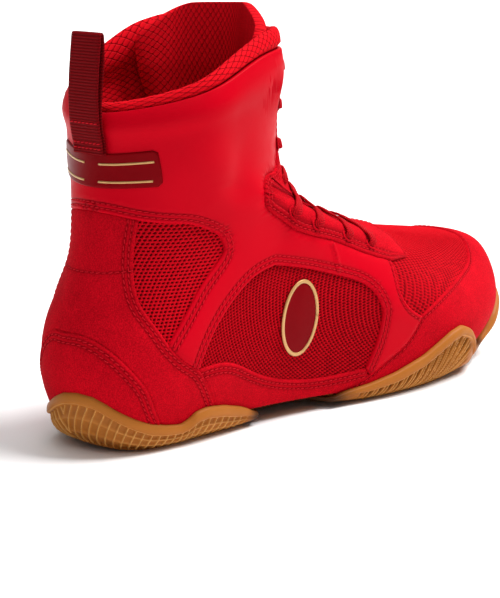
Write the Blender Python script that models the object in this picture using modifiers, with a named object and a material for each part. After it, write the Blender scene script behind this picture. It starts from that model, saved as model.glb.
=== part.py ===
# Boxing shoe for the right foot, standing empty on its sole.
# The toe points to +X, the inner (medial) side is +Y, up is +Z.
# Sizes below are millimetres; the meshes are made in metres.
import math

import bmesh
import bpy
import numpy as np
from mathutils import Vector
from mathutils.bvhtree import BVHTree
from mathutils.geometry import delaunay_2d_cdt

NAME = "boxing_shoe"
MM = 0.001

# The last: tilted plan sections from the feather line (level 0) up to the collar (level 8).
# back, front: ends of the section along X; z_*: its height at the back, at 0.42 and 0.70 of its
# length and at the front; heel, mid, fore, toe: half widths at 0.12, 0.42, 0.70 and 0.90.
LEVEL_COLUMNS = "back front z_back z_mid z_fore z_front heel mid fore toe"
LEVELS = {
    "feather": (7.0, 281, 9, 6.5, 6, 16, 27, 31, 43, 30),
    "wall": (0.0, 288, 30, 31, 25, 32, 33.5, 36, 48, 36),
    "crown": (2.0, 285, 52, 54, 44, 49, 33.5, 37.5, 45, 30),
    "vamp": (9.0, 261, 74, 77, 64, 60, 31, 34.5, 30, 20),
    "throat": (15.0, 190, 94, 97, 82, 72, 29, 34.5, 25, 15),
    "instep": (18.0, 133, 109, 113, 102, 89, 28.5, 36, 26, 15),
    "ankle": (18.5, 114, 121, 129, 125, 114, 28, 37.5, 29.5, 17),
    "shaft": (19.0, 110, 132, 144, 148, 145, 28, 39.5, 33, 20),
    "collar": (20.0, 112, 143, 161, 170, 172, 28.5, 41, 35, 22),
}
WIDTH_AT = (0.12, 0.42, 0.70, 0.90)
HEEL_ROUND = 0.95
TOE_ROUND = 0.80
FULL_LENGTH = 288.0
TOP_LEVEL = 8.0

# Centre line of the foot: x, offset towards the medial side.
SWING = ((0, 0), (60, 0), (120, -2), (190, 0), (240, 5), (290, 12))

# The throat opens above this level to its full half width.
THROAT_START = 4.45
THROAT_FULL = 5.0
THROAT_HALF = 11.0
THROAT_POWER = 3

# Wall of the upper and the padded roll of its collar.
WALL = 2.4
COLLAR_WALL = 5.0
WALL_BY_LEVEL = ((0, WALL), (6.0, WALL), (6.8, 3.6), (7.7, COLLAR_WALL), (7.93, 3.6), (8, 2.0))
ROLL_BY_LEVEL = ((0, 0), (7.7, 0), (7.93, 0.7), (8, 2.0))
UPPER_COLUMNS = 32
UPPER_LEVELS = (0, 0.5, 1.1, 1.7, 2.3, 2.9, 3.5, 4.0, THROAT_START, 4.8, 5.3, 6.0, 6.8, 7.7, 7.93, TOP_LEVEL)

# Overlays: each lies this far over what carries it, and their edges stay this far apart.
GAP = 0.3
EDGE_INSET = 0.2
LEATHER = 1.2
SUEDE = 1.4
PLATE = 1.0
BADGE = 1.4
EDGE_STEP = 13.0
SOLE_LINE_STEP = 6.0
# Sizes of one unit around (half a girth) and of one level, for measuring on the flat pattern.
AROUND_MM = 330.0
LEVEL_MM = 21.0
SAME_SPOT = 0.002
PATTERN_NEAR = 0.5

# Pattern lines on one side of the upper: (around, level); around runs 0 at the heel to 1 at the toe.
CUFF_EDGE = ((0, 4.32), (0.05, 4.27), (0.092, 4.15), (0.158, 3.96), (0.209, 3.82), (0.243, 3.62),
             (0.268, 3.38), (0.274, 3.16), (0.268, 2.98), (0.245, 2.63), (0.227, 2.24), (0.199, 1.68))
ACHILLES_EDGE = ((0.11, 4.10), (0.11, 3.62), (0.115, 3.19), (0.126, 2.79), (0.143, 2.45),
                 (0.168, 2.12), (0.199, 1.68))
COUNTER_EDGE = ((0.199, 1.68), (0.225, 1.36), (0.252, 1.09), (0.263, 0.88), (0.273, 0.59), (0.281, 0.30))
STRAP_FOOT = ((0.199, 1.68), (0.225, 1.36), (0.252, 1.09))
WINDOW_BACK = ((0.252, 1.09), (0.268, 1.57), (0.291, 2.05), (0.311, 2.34), (0.334, 2.57), (0.36, 2.68))
WINDOW_TOP = ((0.36, 2.68), (0.421, 2.50), (0.457, 2.37), (0.487, 2.23), (0.503, 2.04), (0.514, 1.70))
WINDOW_FRONT = ((0.514, 1.70), (0.511, 1.04), (0.498, 0.46))
WINDOW_FOOT = ((0.498, 0.46), (0.432, 0.38), (0.388, 0.48), (0.344, 0.75), (0.299, 1.08), (0.252, 1.09))
RAND_EDGE_LOW = ((0.46, 0.05), (0.498, 0.28), (0.534, 0.69), (0.551, 0.93), (0.569, 1.55))
RAND_EDGE_HIGH = ((0.569, 1.55), (0.597, 1.86), (0.646, 2.12), (0.702, 2.24), (0.766, 2.44),
                  (0.80, 2.65), (0.85, 2.90), (0.92, 3.08), (1, 3.12))
RAND_TIP = 0.475
VAMP_EDGE = ((0.569, 1.55), (0.548, 1.78), (0.538, 2.08), (0.538, 2.40), (0.541, 2.70))
EYESTAY_EDGE = ((0.541, 2.70), (0.498, 2.85), (0.447, 3.13), (0.396, 3.35), (0.363, 3.75),
                (0.355, 4.33), (0.405, 4.95), (0.555, 5.50), (0.69, 6.10), (0.74, 6.90), (0.75, 7.68))
EYESTAY_TIP = (0.584, 2.81)
EYESTAY_FRONT_X = 179.0
COLLAR_EDGE_LEVEL = 7.68
PATCH_EDGE = ((0, 1.94), (0.042, 1.94), (0.082, 1.80), (0.118, 1.54), (0.144, 1.25), (0.163, 0.96),
              (0.174, 0.56), (0.182, 0.20))
PLATE_EDGE = ((0, 6.22), (0.118, 6.22), (0.127, 6.12), (0.138, 5.12), (0.132, 5.0), (0, 5.02))
BADGE_CENTRE = (0.404, 1.62)
BADGE_HALF = (11.0, 17.0)

# Top edge of the sole by place around: height over the floor. There is no cup where it lies below the last.
SOLE_EDGE = ((0, 26.5), (0.035, 26.3), (0.06, 24.5), (0.09, 20.5), (0.12, 17), (0.15, 14), (0.18, 12.2),
             (0.212, 11), (0.228, 12.6), (0.242, 15.4), (0.262, 16.4), (0.293, 15), (0.322, 12),
             (0.342, 8.6), (0.358, 6), (0.37, 4), (0.43, 4), (0.45, 6), (0.47, 7.6), (0.50, 9), (0.536, 12),
             (0.577, 17), (0.598, 21), (0.622, 25.2), (0.645, 26.6), (0.668, 24), (0.688, 18.5),
             (0.70, 13.5), (0.72, 10.5), (0.76, 11), (0.785, 15), (0.81, 22), (0.85, 28.5), (0.90, 32.5),
             (0.95, 35.5), (1, 36.5))
# Underside of the sole by x: heel rocker, heel flat, raised waist, forefoot flat, toe spring.
SOLE_UNDER = ((-6, 7), (4, 3.2), (14, 0.8), (24, 0), (50, 0), (74, 0), (92, 2.4), (108, 3), (126, 2.2), (148, 0),
              (180, 0), (212, 0), (236, 2.0), (262, 7.5), (280, 13.5), (296, 20))
# Side of the cup from its top edge down: share of its height left, share of its way in, ribbed or not.
CUP_SIDE = ((0.97, 1.0, 0), (0.66, 1.06, 0), (0.60, 0.92, 0), (0.32, 0.80, 1), (0.08, 0.34, 1), (0, 0, 0))
CUP_CLEAR = 0.5
CUP_WALL = 2.1
# Inside of the cup: share of its height, width of its ledge where it is low, room for the last's bulge.
CUP_INSIDE = ((0.4, 0.3, 0.4), (0.8, 0.6, 0.4), (1.0, 1.0, 0))
CUP_FADE = 0.12
UNDER_INSET = 3.5
WAIST_INSET = 4.0
RIB_PITCH = 9.0
RIB_DEPTH = 0.9
RIBBED = ((0, 0.345), (0.47, 0.70))
WAIST_STEPS = 6
TOE_STEPS = 11
SPINE_SHARE = 0.84

INSOLE_THICK = 3.0
INSOLE_INSET = 3.3

# Tongue: level, place around of its edges.
TONGUE = ((4.0, 0.72), (4.4, 0.65), (4.8, 0.58), (5.3, 0.51), (6.0, 0.44), (6.8, 0.385), (7.5, 0.36), (8.0, 0.36),
          (8.2, 0.40), (8.3, 0.48), (8.36, 0.60))
TONGUE_THICK = 3.6
TONGUE_CLEAR = 1.0
TONGUE_COLUMNS = 10
TONGUE_WALL_LEVEL = 7.7

# Pull loop at the back of the collar: webbing folded into two straps that lie close together.
LOOP_WIDTH = 18.0
LOOP_THICK = 1.2
LOOP_RISE = 29.0
LOOP_TOP_X = 15.5
LOOP_CLEAR = 0.1
# Room between its two straps, and the levels between which they lie on the quarter.
LOOP_GAP = 0.6
LOOP_LOW, LOOP_HIGH = 6.28, 7.0
# The fold at its top: forward and up from the middle of the fold.
LOOP_TURN = ((-0.3, -0.4), (0, 0), (0.3, -0.4))
LOOP_ROWS = 3
LOOP_COLUMNS = 2

# Lacing rows, lowest first: level where the row crosses the middle, then level and place around of
# its holes. The lace is pulled taut over the instep between them.
LACE_ROWS = ((4.62, 3.13, 0.521), (4.86, 3.32, 0.485), (5.12, 3.59, 0.437), (5.45, 3.90, 0.404),
             (5.86, 5.40, 0.65), (6.33, 6.10, 0.74), (6.92, 6.75, 0.79), (7.47, 7.35, 0.81))
LACE_START = 0.86
LACE_WIDTH = 5.0
LACE_THICK = 1.4
LACE_SAG = 0.15
LACE_STEEPEST = 0.35
LACE_SAMPLES = 36
LACE_SIDES = (-1.1, -0.5, 0, 0.5, 1.1)
LACE_OVER = 0.7
LACE_CROSS = 0.7
LACE_REACH = 70.0

RED_LEATHER = (0.62, 0.010, 0.020)
RED_SUEDE = (0.56, 0.012, 0.022)
RED_MESH = (0.45, 0.008, 0.015)
RED_DARK = (0.22, 0.006, 0.012)
GUM = (0.46, 0.22, 0.055)


def clear_scene():
    for item in list(bpy.data.objects):
        bpy.data.objects.remove(item, do_unlink=True)


def spline(xs, ys):
    """Natural cubic curve through rows of numbers; ys may have several columns."""
    xs = np.asarray(xs, float)
    ys = np.asarray(ys, float)
    count = len(xs)
    step = np.diff(xs)
    matrix = np.eye(count)
    right = np.zeros_like(ys)
    for i in range(1, count - 1):
        matrix[i, i - 1:i + 2] = step[i - 1], 2 * (step[i - 1] + step[i]), step[i]
        right[i] = 6 * ((ys[i + 1] - ys[i]) / step[i] - (ys[i] - ys[i - 1]) / step[i - 1])
    bend = np.linalg.solve(matrix, right)

    def value(q):
        q = np.asarray(q, float)
        k = np.clip(np.searchsorted(xs, q) - 1, 0, count - 2)
        a = (xs[k + 1] - q) / step[k]
        b = (q - xs[k]) / step[k]
        h = step[k]
        if ys.ndim > 1:
            a, b, h = a[..., None], b[..., None], h[..., None]
        return a * ys[k] + b * ys[k + 1] + ((a**3 - a) * bend[k] + (b**3 - b) * bend[k + 1]) * h**2 / 6

    return value


def by_table(table):
    """Straight interpolation in a table of pairs."""
    xs, ys = np.array(table, float).T
    return lambda q: np.interp(q, xs, ys)


LEVEL_TABLE = np.array(list(LEVELS.values()), float)
level_curve = spline(np.arange(len(LEVEL_TABLE)), LEVEL_TABLE)
swing_at = spline(*np.array(SWING, float).T)
wall_at = by_table(WALL_BY_LEVEL)
roll_at = by_table(ROLL_BY_LEVEL)
sole_edge_at = by_table(SOLE_EDGE)
sole_under_at = by_table(SOLE_UNDER)


def level_row(level):
    """The last's sizes at a level; above the collar it runs on straight."""
    if level <= TOP_LEVEL:
        return level_curve(level)
    below = TOP_LEVEL - 0.2
    slope = (level_curve(TOP_LEVEL) - level_curve(below)) / 0.2
    return level_curve(TOP_LEVEL) + slope * (level - TOP_LEVEL)


def section(row, around):
    """Points of one tilted plan section; around runs -1..1 from toe to toe, 0 at the heel."""
    size = dict(zip(LEVEL_COLUMNS.split(), row))
    length = size["front"] - size["back"]
    share = (1 - np.cos(np.pi * np.abs(around))) / 2
    fan = FULL_LENGTH / length
    u = share * fan / (1 + (fan - 1) * share)
    angle = np.arccos(np.clip(1 - 2 * u, -1, 1))
    widths = [size[name] / math.sqrt(1 - (1 - 2 * at)**2)
              for name, at in zip(("heel", "mid", "fore", "toe"), WIDTH_AT)]
    heel_end = math.sqrt(HEEL_ROUND * size["heel"] * length / 2)
    toe_end = math.sqrt(TOE_ROUND * size["toe"] * length / 2)
    half = spline((0, *WIDTH_AT, 1), (heel_end, *widths, toe_end))
    height = spline((0, WIDTH_AT[1], WIDTH_AT[2], 1),
                    [size[name] for name in ("z_back", "z_mid", "z_fore", "z_front")])
    x = size["back"] + length * u
    y = swing_at(x) + np.sign(around) * half(u) * np.sin(angle)
    return np.stack([x, y, height(u)], -1)


def bisect(inside, low, high):
    """The place between low and high where inside() turns from true to false."""
    for _ in range(40):
        middle = (low + high) / 2
        if inside(middle):
            low = middle
        else:
            high = middle
    return (low + high) / 2


def around_at_offset(row, offset):
    """Place around, near the front, where a section lies this far from the centre line."""
    def wider(around):
        point = section(row, np.array([around]))[0]
        return abs(point[1] - swing_at(point[0])) > offset
    return bisect(wider, 0.3, 1.0)


def throat_reach(level):
    """How far around the upper reaches before the throat cuts it."""
    share = np.clip((level - THROAT_START) / (THROAT_FULL - THROAT_START), 0, 1)
    gap = THROAT_HALF * math.sqrt(1 - (1 - share)**2)
    return around_at_offset(level_row(level), gap) if gap > 0 else 1.0


def cut_around(around, level):
    """Places around, drawn together near the throat so that the last one lies on its edge."""
    around = np.asarray(around, float)
    return around - (1 - throat_reach(level)) * np.sign(around) * np.abs(around)**THROAT_POWER


def lasted(around, level):
    """Points of the upper's outer face along one level."""
    return section(level_row(level), cut_around(around, level))


def whole_point(around, level, out=0.0):
    """A point over the last with no throat cut in it, moved out along its normal."""
    side = 0.004
    rise = 0.02

    def at(a, t):
        return section(level_row(t), np.array([a]))[0]

    point = at(around, level)
    sign = math.copysign(1, around)
    near = min(abs(around), 1 - side)
    across = at(sign * (near + side), level) - at(sign * (near - side), level)
    along = at(sign * near, level + rise) - at(sign * near, level - rise)
    normal = -sign * np.cross(across, along)
    if abs(around) > 1 - side:
        normal[1] = 0
    return point + out * normal / np.linalg.norm(normal)


def make_material(name, colour, roughness):
    material = bpy.data.materials.new(name)
    material.use_nodes = True
    shader = material.node_tree.nodes["Principled BSDF"]
    shader.inputs["Base Color"].default_value = (*colour, 1)
    shader.inputs["Roughness"].default_value = roughness
    shader.inputs["Metallic"].default_value = 0
    return material


def add_object(name, points, faces, colour, roughness):
    """One named sub-part from points in millimetres, with its own material."""
    mesh = bpy.data.meshes.new(name)
    mesh.from_pydata([Vector(p) * MM for p in points], [], [tuple(int(i) for i in f) for f in faces])
    item = bpy.data.objects.new(name, mesh)
    mesh.materials.append(make_material(name, colour, roughness))
    collection.objects.link(item)
    item.parent = root
    return item


def solidify(item, thickness, outwards=True, shares=None):
    """Turn an open sheet into a closed wall; shares scale the thickness point by point."""
    shell = item.modifiers.new("wall", "SOLIDIFY")
    shell.thickness = thickness * MM
    shell.offset = 1 if outwards else -1
    shell.use_even_offset = False
    if shares is not None:
        group = item.vertex_groups.new(name="wall")
        for i, share in enumerate(shares):
            group.add([i], float(share), "REPLACE")
        shell.vertex_group = group.name


def weld(points, faces, distance=0.01):
    """Join points that fall together and drop faces that collapse."""
    keys = {}
    index = []
    kept = []
    for point in points:
        key = tuple(np.round(np.asarray(point) / distance).astype(int))
        if key not in keys:
            keys[key] = len(kept)
            kept.append(point)
        index.append(keys[key])
    joined = []
    for face in faces:
        corners = [index[i] for i in face]
        corners = [c for k, c in enumerate(corners) if c != corners[k - 1]]
        if len(set(corners)) > 2:
            joined.append(corners)
    return kept, joined, index


def grid_faces(rows, columns):
    """Triangles of a grid; each half splits its cells towards the heel."""
    faces = []
    for r in range(rows - 1):
        for c in range(columns - 1):
            a = r * columns + c
            b, d = a + 1, a + columns
            e = d + 1
            if c < (columns - 1) // 2:
                faces += [(a, b, e), (a, e, d)]
            else:
                faces += [(a, b, d), (b, e, d)]
    return faces


class Skin:
    """The faceted outer face of the upper, on which overlays are drawn as flat patterns."""

    def __init__(self):
        self.around = np.linspace(-1, 1, UPPER_COLUMNS + 1)
        self.levels = np.array(UPPER_LEVELS, float)
        self.points = np.array([lasted(self.around, t) for t in self.levels])
        self.points[:, -1][self.levels <= THROAT_START] = self.points[:, 0][self.levels <= THROAT_START]
        self.faces = grid_faces(len(self.levels), len(self.around))
        flat = self.points.reshape(-1, 3)
        kept, joined, index = weld(flat, self.faces)
        self.normals = -point_normals(np.array(kept), joined)[index].reshape(self.points.shape)

    def at(self, around, level):
        """Point and normal on the facets, interpolated straight within each triangle."""
        c = int(np.clip(np.searchsorted(self.around, around) - 1, 0, UPPER_COLUMNS - 1))
        r = int(np.clip(np.searchsorted(self.levels, level) - 1, 0, len(self.levels) - 2))
        p = (around - self.around[c]) / (self.around[c + 1] - self.around[c])
        q = (level - self.levels[r]) / (self.levels[r + 1] - self.levels[r])
        if c < UPPER_COLUMNS // 2:
            weights = (1 - p, p - q, 0, q) if p > q else (1 - q, 0, q - p, p)
        else:
            weights = (1 - p - q, p, q, 0) if p + q < 1 else (0, 1 - q, 1 - p, p + q - 1)
        corners = ((r, c), (r, c + 1), (r + 1, c), (r + 1, c + 1))
        point = sum(w * self.points[k] for w, k in zip(weights, corners))
        normal = sum(w * self.normals[k] for w, k in zip(weights, corners))
        return point, normal

    def level_at_height(self, around, height):
        """Level where the face reaches a height over the floor, 0 where it never lies that low."""
        if self.at(around, 0)[0][2] >= height:
            return 0.0
        return bisect(lambda t: self.at(around, t)[0][2] < height, 0.0, 3.0)

    def line_at_x(self, x, start):
        """Pattern line from a start to the toe seam where the facets cross a plane of constant x."""
        spots = []
        columns = [a for a in self.around if a > start[0]]
        rows = [t for t in self.levels if start[1] < t < THROAT_START]
        for around in columns:
            level = bisect(lambda t: self.at(around, t)[0][0] > x, start[1] - 1, THROAT_START)
            spots.append((around, level))
        for level in rows:
            around = bisect(lambda a: self.at(a, level)[0][0] < x, start[0] - 0.1, 1.0)
            spots.append((around, level))
        return [spot for spot in sorted(spots) if spot[0] > start[0] + SAME_SPOT]


def point_normals(points, faces):
    normals = np.zeros_like(points)
    for face in faces:
        a, b, c = points[list(face[:3])]
        normal = np.cross(b - a, c - a)
        for i in face:
            normals[i] += normal
    return normals / np.maximum(np.linalg.norm(normals, axis=1), 1e-9)[:, None]


def along(points, step=EDGE_STEP):
    """Points of a smooth pattern line through its table, about one step apart."""
    points = np.array(points, float)
    scale = np.array([AROUND_MM, LEVEL_MM])
    run = np.concatenate([[0], np.cumsum(np.linalg.norm(np.diff(points * scale, axis=0), axis=1))])
    count = max(2, int(round(run[-1] / step)) + 1)
    return [tuple(p) for p in spline(run, points)(np.linspace(0, run[-1], count))]


def chain(*lines):
    """Pattern lines joined end to end, without repeated corners."""
    joined = []
    for line in lines:
        for point in line:
            if not joined or math.dist(joined[-1], point) > SAME_SPOT:
                joined.append(point)
    if math.dist(joined[0], joined[-1]) < SAME_SPOT:
        joined.pop()
    return joined


def flip(line):
    """The same pattern line on the other side, run the other way."""
    return [(-a, t) for a, t in reversed(line)]


def sole_line(start, end, margin=1.0):
    """Pattern line just over the top edge of the sole, between two places around."""
    count = max(2, int(abs(end - start) * AROUND_MM / SOLE_LINE_STEP) + 1)
    line = []
    for around in np.linspace(start, end, count):
        level = skin.level_at_height(around, sole_edge_at(abs(around)) + margin)
        line.append((around, max(level, 0.03)))
    return line


def inset(outline, amount):
    """Draw a closed pattern in by a small amount, keeping points on the toe seam on it."""
    scale = np.array([AROUND_MM, LEVEL_MM])
    points = np.array(outline) * scale
    before = points - np.roll(points, 1, axis=0)
    after = np.roll(points, -1, axis=0) - points
    area = np.sum(points[:, 0] * np.roll(points[:, 1], -1) - points[:, 1] * np.roll(points[:, 0], -1))
    turn = 1 if area > 0 else -1

    def inward(edge):
        return turn * np.stack([-edge[:, 1], edge[:, 0]], 1) / np.linalg.norm(edge, axis=1)[:, None]

    normal = inward(before) + inward(after)
    length = np.linalg.norm(normal, axis=1)[:, None]
    moved = points + normal / np.maximum(length, 0.4)**2 * 2 * amount
    on_seam = np.abs(points[:, 0]) > AROUND_MM - 1e-6
    moved[on_seam, 0] = points[on_seam, 0]
    return [tuple(p) for p in moved / scale]


def holds(outline, point):
    """True where a closed pattern holds a point."""
    x, y = point
    odd = False
    for (ax, ay), (bx, by) in zip(outline, outline[1:] + outline[:1]):
        if (ay > y) != (by > y) and x < ax + (y - ay) * (bx - ax) / (by - ay):
            odd = not odd
    return odd


def cut_pattern(outline):
    """Triangulate a closed pattern along the facets of the skin."""
    scale = np.array([AROUND_MM, LEVEL_MM])
    edge = np.array(outline)
    low, high = edge.min(0), edge.max(0)
    cols = [a for a in skin.around if low[0] - 0.06 < a < high[0] + 0.06]
    rows = [t for t in skin.levels if low[1] - 0.6 < t < high[1] + 0.6]
    points = [Vector(np.array(p) * scale) for p in outline]
    count = len(points)
    edges = [(i, (i + 1) % count) for i in range(count)]
    for t in rows:
        points += [Vector(np.array((a, t)) * scale) for a in cols]
    width = len(cols)
    for r in range(len(rows)):
        for c in range(width):
            here = count + r * width + c
            if c + 1 < width:
                edges.append((here, here + 1))
            if r + 1 < len(rows):
                edges.append((here, here + width))
            if c + 1 < width and r + 1 < len(rows):
                falling = cols[c] >= -1e-9
                edges.append((here + 1, here + width) if falling else (here, here + width + 1))
    flat, _, faces, _, _, _ = delaunay_2d_cdt(points, edges, [], 0, PATTERN_NEAR)
    ring = [tuple(np.array(p) * scale) for p in outline]
    kept = [f for f in faces if holds(ring, tuple(sum((flat[i] for i in f), Vector((0, 0))) / len(f)))]
    return [np.array(p) / scale for p in flat], kept


def overlay(name, outlines, thickness, colour, roughness, lift=GAP, edge_inset=EDGE_INSET):
    """A panel cut from one or more flat patterns and laid over the upper."""
    points, faces = [], []
    for outline in outlines:
        flat, cells = cut_pattern(inset(outline, edge_inset))
        start = len(points)
        for around, level in flat:
            point, normal = skin.at(around, level)
            points.append(point + lift * normal)
        faces += [[start + i for i in cell] for cell in cells]
    points, faces, _ = weld(points, faces)
    used = sorted({i for face in faces for i in face})
    place = {old: new for new, old in enumerate(used)}
    faces = [[place[i] for i in face] for face in faces]
    item = add_object(name, [points[i] for i in used], faces, colour, roughness)
    face_out(item)
    solidify(item, thickness)
    return item


def face_out(item):
    """Turn an open sheet's faces away from the inside of the shoe."""
    mesh = item.data
    middle = Vector((95, 0, 60)) * MM
    outward = sum((p.center - middle).dot(p.normal) * p.area for p in mesh.polygons)
    if outward < 0:
        mesh.flip_normals()


def make_upper():
    around = skin.around
    points = skin.points.copy()
    for r, level in enumerate(skin.levels):
        points[r] -= roll_at(level) * skin.normals[r]
    shares = np.repeat(wall_at(skin.levels) / COLLAR_WALL, len(around))
    kept, faces, index = weld(points.reshape(-1, 3), skin.faces)
    share_of = {new: shares[old] for old, new in enumerate(index)}
    item = add_object("upper", kept, faces, RED_MESH, 0.75)
    face_out(item)
    solidify(item, COLLAR_WALL, outwards=False, shares=[share_of[i] for i in range(len(kept))])


def make_overlays():
    cuff, achilles, counter = along(CUFF_EDGE), along(ACHILLES_EDGE), along(COUNTER_EDGE)
    strap_foot = along(STRAP_FOOT)
    window = chain(along(WINDOW_BACK), along(WINDOW_TOP), along(WINDOW_FRONT))
    window_foot = along(WINDOW_FOOT)
    rand_low, rand_high = along(RAND_EDGE_LOW), along(RAND_EDGE_HIGH)
    vamp, eyestay_edge = along(VAMP_EDGE), along(EYESTAY_EDGE)
    collar = [(a, COLLAR_EDGE_LEVEL) for a in np.linspace(eyestay_edge[-1][0], 0, 18)]
    strap_front = [p for p in rand_low if p[0] > 0.501]

    half = chain(cuff, strap_foot, window, strap_front, vamp, eyestay_edge, collar)
    overlay("quarter", [chain(half, flip(half))], LEATHER, RED_LEATHER, 0.42)

    patch = along(PATCH_EDGE)
    top = [p for p in cuff if p[0] < ACHILLES_EDGE[0][0] - 0.01]
    low = sole_line(COUNTER_EDGE[-1][0], PATCH_EDGE[-1][0])
    half = chain(top, achilles, counter[:-1], low, list(reversed(patch))[1:])
    overlay("heel_counter", [chain(half, flip(half)[1:])], SUEDE, RED_SUEDE, 0.8)
    half = chain(patch[:-1], sole_line(PATCH_EDGE[-1][0], 0))
    overlay("heel_patch", [chain(half, flip(half))], SUEDE, RED_SUEDE, 0.8)

    for name, mirror in (("side_rand_lateral", flip), ("side_rand_medial", list)):
        front = [p for p in rand_low if p[0] <= 0.501]
        low = sole_line(RAND_EDGE_LOW[0][0], COUNTER_EDGE[-1][0])
        back = [p for p in reversed(counter[:-1]) if p[1] < WINDOW_FOOT[-1][1]]
        overlay(name, [mirror(chain(window_foot[:-1][::-1], list(reversed(front)), low, back))],
                SUEDE, RED_SUEDE, 0.8)

    toe_end = (1, skin.level_at_height(1, SOLE_EDGE[-1][1] + 0.5))
    rand_back = [p for p in rand_low if p[0] > RAND_TIP]
    half = chain(rand_back, rand_high, [(1, 2.4), (1, 1.8), toe_end], sole_line(0.99, RAND_TIP + 0.02))
    overlay("toe_rand", [half, flip(half)], SUEDE, RED_SUEDE, 0.8)

    front = skin.line_at_x(EYESTAY_FRONT_X, EYESTAY_TIP)
    throat_edge = [(1, t) for t in skin.levels if THROAT_START <= t < COLLAR_EDGE_LEVEL]
    half = chain(front, throat_edge, [(1, COLLAR_EDGE_LEVEL), (0.86, COLLAR_EDGE_LEVEL)],
                 list(reversed(eyestay_edge)), [EYESTAY_TIP])
    overlay("eyestay", [half, flip(half)], SUEDE, RED_SUEDE, 0.75)

    half = chain(*[[p] for p in PLATE_EDGE])
    outline = chain(half, flip(half))
    overlay("back_plate", [outline], PLATE, RED_DARK, 0.35, lift=2 * GAP + LEATHER)

    turns = np.linspace(0, 2 * math.pi, 12, endpoint=False)
    for name, side in (("side_badge_lateral", -1), ("side_badge_medial", 1)):
        outline = [(side * (BADGE_CENTRE[0] + BADGE_HALF[0] * math.cos(a) / AROUND_MM),
                    BADGE_CENTRE[1] + BADGE_HALF[1] * math.sin(a) / LEVEL_MM) for a in turns]
        overlay(name, [outline], BADGE, RED_DARK, 0.4)


def sole_stations():
    """Places around for the sole: two per rib where it is ribbed, a few elsewhere."""
    stations = []
    for start, end in RIBBED:
        count = 2 * int((end - start) * AROUND_MM / RIB_PITCH)
        for i, around in enumerate(np.linspace(start, end, count + 1)):
            stations.append((around, 1 if i % 2 else -1))
    waist = np.linspace(RIBBED[0][1], RIBBED[1][0], WAIST_STEPS + 2)[1:-1]
    toe = 1 - np.arange(TOE_STEPS) / UPPER_COLUMNS
    stations += [(around, 0) for around in (*waist, *toe)]
    return sorted(stations)


def plan_normal(around):
    """Level direction straight out of the feather line."""
    side = 0.01
    if abs(around) < 1e-6:
        return np.array([-1.0, 0, 0])
    if abs(around) > 1 - 1e-6:
        return np.array([1.0, 0, 0])
    ends = lasted(np.array([around - side, around + side]), 0)
    way = ends[1] - ends[0]
    normal = np.array([-way[1], way[0], 0])
    return normal / np.linalg.norm(normal)


def spine_point(x, height):
    """A point on the sole's centre line, drawn in from its ends."""
    middle = FULL_LENGTH / 2
    inner = middle + (x - middle) * SPINE_SHARE
    return np.array([inner, swing_at(inner), height])


def sole_ring(around, rib):
    """Points of the sole at one place around, from its bed over the cup's edge to its underside."""
    foot = skin.at(around, 0)[0]
    out = plan_normal(around)
    down = np.array([0, 0, 1.0])
    edge_height = float(sole_edge_at(abs(around)))
    level = skin.level_at_height(around, edge_height)
    cup = min(1.0, level / CUP_FADE)
    cup = cup * cup * (3 - 2 * cup)
    drop = down * (GAP + 0.05)
    tuck = out * WAIST_INSET * (1 - cup) * np.clip((foot[2] - edge_height) / 2, 0, 1)
    ring = [foot + out * CUP_CLEAR - drop - tuck]
    for share, ledge, bulge in CUP_INSIDE:
        point, normal = skin.at(around, level * share)
        clear = CUP_CLEAR + bulge * level
        ring.append(point + normal * clear + (1 - cup) * (out * ledge - drop) - tuck)
    point, normal = skin.at(around, level)
    edge = point + normal * (CUP_CLEAR + CUP_WALL) - (1 - cup) * drop - tuck
    under = foot - out * UNDER_INSET - tuck
    under[2] = sole_under_at(foot[0])
    for height, way, ribbed in CUP_SIDE:
        side = under + (edge - under) * np.array([way, way, height])
        ring.append(side + out * ribbed * rib * cup * RIB_DEPTH / 2)
    return ring


def make_sole():
    loft("outsole", [(a, sole_ring(a, rib), sole_ring(-a, rib)) for a, rib in sole_stations()],
         lambda x: (np.interp(x, BED_X, BED_Z) - GAP - 0.05, sole_under_at(x)), GUM, 0.6)


def make_insole():
    def ring(around):
        point = skin.at(around, 0)[0] - plan_normal(around) * INSOLE_INSET
        return [point + np.array([0, 0, INSOLE_THICK]), point]

    places = np.linspace(0, 1, 22)
    loft("insole", [(a, ring(a), ring(-a)) for a in places],
         lambda x: (np.interp(x, BED_X, BED_Z) + INSOLE_THICK, np.interp(x, BED_X, BED_Z)), RED_DARK, 0.9)


def loft(name, stations, spine_heights, colour, roughness):
    """A closed body from rings on both sides that share a spine on top and underneath."""
    points = []
    rows = []
    for around, right, left in stations:
        x = skin.at(around, 0)[0][0]
        top, bottom = spine_heights(x)
        shared = [spine_point(x, top), spine_point(x, bottom)]
        start = len(points)
        points += shared + list(right) + list(left)
        size = len(right)
        ends = (start, start + 1)
        rows.append(([ends[0], *range(start + 2, start + 2 + size), ends[1]],
                     [ends[0], *range(start + 2 + size, start + 2 + 2 * size), ends[1]]))
    faces = []
    for (right, left), (right_next, left_next) in zip(rows, rows[1:]):
        for k in range(len(right) - 1):
            faces.append((right[k], right_next[k], right_next[k + 1], right[k + 1]))
            faces.append((left[k + 1], left_next[k + 1], left_next[k], left[k]))
    points, faces, _ = weld(points, faces)
    item = add_object(name, points, faces, colour, roughness)
    tidy = bmesh.new()
    tidy.from_mesh(item.data)
    bmesh.ops.triangulate(tidy, faces=tidy.faces)
    if tidy.calc_volume(signed=True) < 0:
        bmesh.ops.reverse_faces(tidy, faces=tidy.faces)
    tidy.to_mesh(item.data)
    tidy.free()
    return item


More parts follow.
